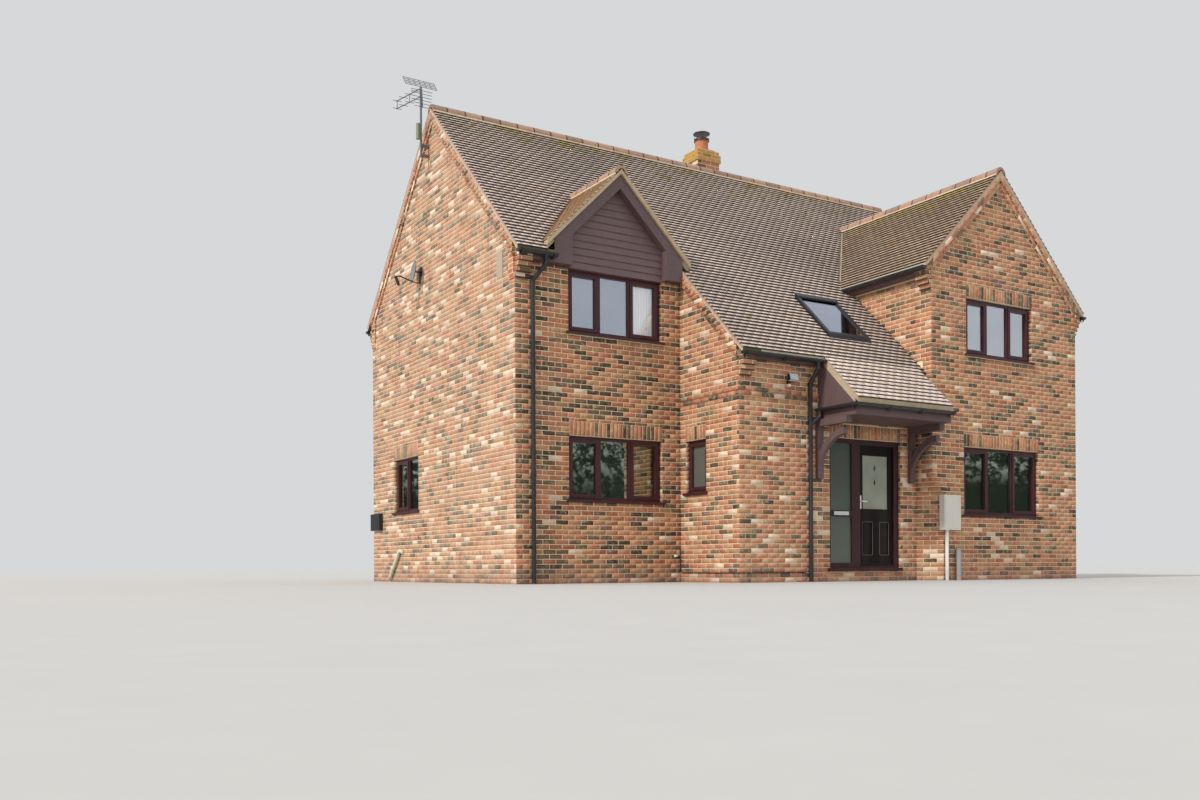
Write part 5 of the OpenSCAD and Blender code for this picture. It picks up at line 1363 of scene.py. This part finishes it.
# Mouldings round the door's two lower panels, lighter than the door: a painted highlight on their
# raised edges
mouldingValues = {"panels": ((0.318, 0.542), (0.707, 0.912)), "low": 0.43, "high": 0.975,
                  "y": -4.519, "radius": 0.005}
moulding = Solids()
for left, right in mouldingValues["panels"]:
    corners = [(x, mouldingValues["y"], mouldingValues[z]) for x, z in (
        (left, "low"), (right, "low"), (right, "high"), (left, "high"))]
    for start, stop in zip(corners, corners[1:] + corners[:1]):
        moulding.tube([start, stop], mouldingValues["radius"], 8)
moulding.piece("doorMouldings", "mouldingFoil", "brown_frames", body="front_door")

# Panes that differ from the rest of their node: the node's own solids, shared out
paneLooks = {
    "groundPanes": ("groundGlass", "ground_window_glass"), "returnPane": ("frostedGlass", None),
    "sidePanes": ("satinGlass", None), "upperPanes": ("upperGlass", "upper_window_glass"),
    "curtainedPane": ("curtainedGlass", None),
}


# Boxes round the middles of the panes that differ: x, y and z, each from and to
paneBoxes = {
    "curtainedPane": ((-3.19, -2.67), (-3.0, -2.5), (3.0, 6.0)),
    "sidePanes": ((-0.50, 0.20), (-4.8, -4.4), (0.0, 3.0)),
    "returnPane": ((-2.36, -2.12), (-4.6, -3.1), (0.0, 3.0)),
}
upperFloorZ = 3.0


def paneAt(middle):
    for name, box in paneBoxes.items():
        if all(low < place < high for place, (low, high) in zip(middle, box)):
            return name
    return "upperPanes" if middle.z > upperFloorZ else "groundPanes"


paneParts = {name: ([], []) for name in paneLooks}
for nodeName in ("ground_window_glass", "upper_window_glass"):
    solid = bmesh.new()
    solid.from_mesh(cadNodes[nodeName].data)
    bmesh.ops.remove_doubles(solid, verts=solid.verts, dist=1e-5)
    done = set()
    for start in solid.faces:
        if start in done:
            continue
        done.add(start)
        reached = [start]
        for face in reached:
            for edge in face.edges:
                for other in edge.link_faces:
                    if other not in done:
                        done.add(other)
                        reached.append(other)
        corners = {corner for face in reached for corner in face.verts}
        middle = sum((corner.co for corner in corners), Vector()) / len(corners)
        vertices, faces = paneParts[paneAt(middle)]
        for face in reached:
            faces.append(tuple(range(len(vertices), len(vertices) + len(face.verts))))
            vertices += [tuple(corner.co) for corner in face.verts]
    solid.free()
for name, (look, replaced) in paneLooks.items():
    mesh = plainMesh(name, *paneParts[name])
    merged = bmesh.new()
    merged.from_mesh(mesh)
    bmesh.ops.remove_doubles(merged, verts=merged.verts, dist=1e-5)
    merged.to_mesh(mesh)
    merged.free()
    mesh.materials.append(looks[look])
    pane = addPiece(name, mesh)
    if replaced:
        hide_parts(replaced)

# A gathered net curtain behind the right light of the upper front window
curtainValues = {"left": -3.13, "right": -2.74, "y": -2.875, "low": 3.93, "high": 4.79, "waves": 8,
                 "depth": 0.016, "thick": 0.0008, "rows": 8, "waveSteps": 12}


def gatheredSheet(values):
    steps, rows = values["waves"] * values["waveSteps"], values["rows"]
    line = []
    for k in range(steps + 1):
        share = k / steps
        fold = math.sin(2 * math.pi * values["waves"] * share) * (0.75 + 0.25 * math.sin(5 * share))
        line.append(Vector((values["left"] + share * (values["right"] - values["left"]),
                            values["y"] + values["depth"] * fold)))
    length = sum((after - here).length for here, after in zip(line, line[1:]))
    vertices = []
    for row in range(rows + 1):
        height = values["low"] + (values["high"] - values["low"]) * row / rows
        for side in (-1, 1):
            for k, point in enumerate(line):
                run = line[min(k + 1, steps)] - line[max(k - 1, 0)]
                out = Vector((run.y, -run.x)).normalized() * values["thick"] * side
                vertices.append((point.x + out.x, point.y + out.y, height))
    wide = steps + 1
    faces = []
    for back in range(0, rows * 2 * wide, 2 * wide):
        front = back + wide
        for k in range(steps):
            faces.append((front + k, front + k + 1, front + 2 * wide + k + 1, front + 2 * wide + k))
            faces.append((back + k + 1, back + k, back + 2 * wide + k, back + 2 * wide + k + 1))
        faces.append((back, front, front + 2 * wide, back + 2 * wide))
        faces.append((front + steps, back + steps, back + 2 * wide + steps,
                      front + 2 * wide + steps))
    top = rows * 2 * wide
    for k in range(steps):
        faces.append((k, k + 1, wide + k + 1, wide + k))
        faces.append((top + wide + k, top + wide + k + 1, top + k + 1, top + k))
    mesh = plainMesh("netCurtain", vertices, faces)
    mesh.polygons.foreach_set("use_smooth", [True] * len(faces))
    return mesh, length


def buildCurtain(net, vector):
    weave = net.noise(net.stretch(vector, (220.0, 220.0, 60.0)), 1.0, 2.0)
    return net.ramp(weave, [(0.3, paint(224, 224, 222)), (0.7, paint(246, 246, 244))]), weave, 0.9


# The curtain glows a little though it is no lamp: painted light
newLook("netCurtain", buildCurtain, (0.3, 0.001), {"Emission Color": (1, 1, 1, 1),
                                                   "Emission Strength": 0.25})
curtainMesh, curtainLength = gatheredSheet(curtainValues)
curtainMesh.materials.append(looks["netCurtain"])
curtain = addPiece("netCurtain", curtainMesh)
print("small parts made")

# Stage
floorValues = {"half": 150, "colour": paint(188, 186, 182)}
half = floorValues["half"]
floorMesh = plainMesh("stageFloor", [(-half, -half, 0), (half, -half, 0), (half, half, 0),
                                     (-half, half, 0)], [(0, 1, 2, 3)])
floorPiece = bpy.data.objects.new("stageFloor", floorMesh)
scene.collection.objects.link(floorPiece)
newLook("stageFloor", lambda net, vector: (
    useGroup(net, speckle, Vector=vector, Color=floorValues["colour"], Scale=3.0,
             Amount=0.03)["Color"], None, 0.95))
floorMesh.materials.append(looks["stageFloor"])

skyColours = {
    "light": (0.97, 0.98, 1.0, 1), "seen": paint(214, 216, 218), "air": paint(196, 204, 220),
    "cloud": paint(228, 230, 238), "land": paint(30, 42, 26), "fleck": paint(206, 212, 206),
}
world = bpy.data.worlds.new("sky")
scene.world = world
world.use_nodes = True
world.node_tree.nodes.clear()
sky = Net(world.node_tree)
plainLight = sky.add("ShaderNodeBackground", {"Color": skyColours["light"], "Strength": 0.95})
seenSky = sky.add("ShaderNodeBackground", {"Color": skyColours["seen"], "Strength": 1.0})
rays = sky.add("ShaderNodeLightPath").outputs
seen = sky.math("MAXIMUM", rays["Is Camera Ray"], rays["Is Transmission Ray"])
# What glass and gloss mirror: a low dark land line under a pale sky
direction = sky.add("ShaderNodeTexCoord").outputs["Generated"]
ragged = sky.minus(sky.noise(direction, 9.0, 6.0, 0.7), 0.5)
lift = sky.split(direction)[2]
overLand = sky.remap(sky.plus(lift, sky.times(ragged, 0.16)), 0.125, 0.15)
clouds = sky.remap(sky.noise(sky.stretch(direction, (1.0, 1.0, 2.5)), 2.2, 4.0), 0.42, 0.62)
airColour = sky.mix(clouds, skyColours["air"], skyColours["cloud"])
uneven = sky.times(sky.noise(direction, 14.0, 3.0), 0.08)
speckled = sky.remap(sky.plus(lift, uneven), 0.108, 0.13)
flecks = sky.times(sky.remap(sky.noise(direction, 150.0, 4.0, 0.75), 0.5, 0.56), speckled)
landColour = sky.mix(flecks, skyColours["land"], skyColours["fleck"])
mirrored = sky.add("ShaderNodeBackground", {"Color": sky.mix(overLand, landColour, airColour),
                                            "Strength": 1.0})
lit = sky.add("ShaderNodeMixShader", {0: rays["Is Glossy Ray"], 1: plainLight.outputs[0],
                                      2: mirrored.outputs[0]})
mixed = sky.add("ShaderNodeMixShader", {0: seen, 1: lit.outputs[0], 2: seenSky.outputs[0]})
sky.add("ShaderNodeOutputWorld", {0: mixed.outputs[0]})

sunValues = {"strength": 2.4, "angle": 5, "from": (-1.0, -0.14, 0.72), "colour": (1.0, 0.97, 0.93)}
sunData = bpy.data.lights.new("sun", "SUN")
sunData.energy = sunValues["strength"]
sunData.angle = math.radians(sunValues["angle"])
sunData.color = sunValues["colour"]
sun = bpy.data.objects.new("sun", sunData)
scene.collection.objects.link(sun)
sun.rotation_euler = Vector(sunValues["from"]).to_track_quat("Z", "Y").to_euler()
print("stage and lamps set")
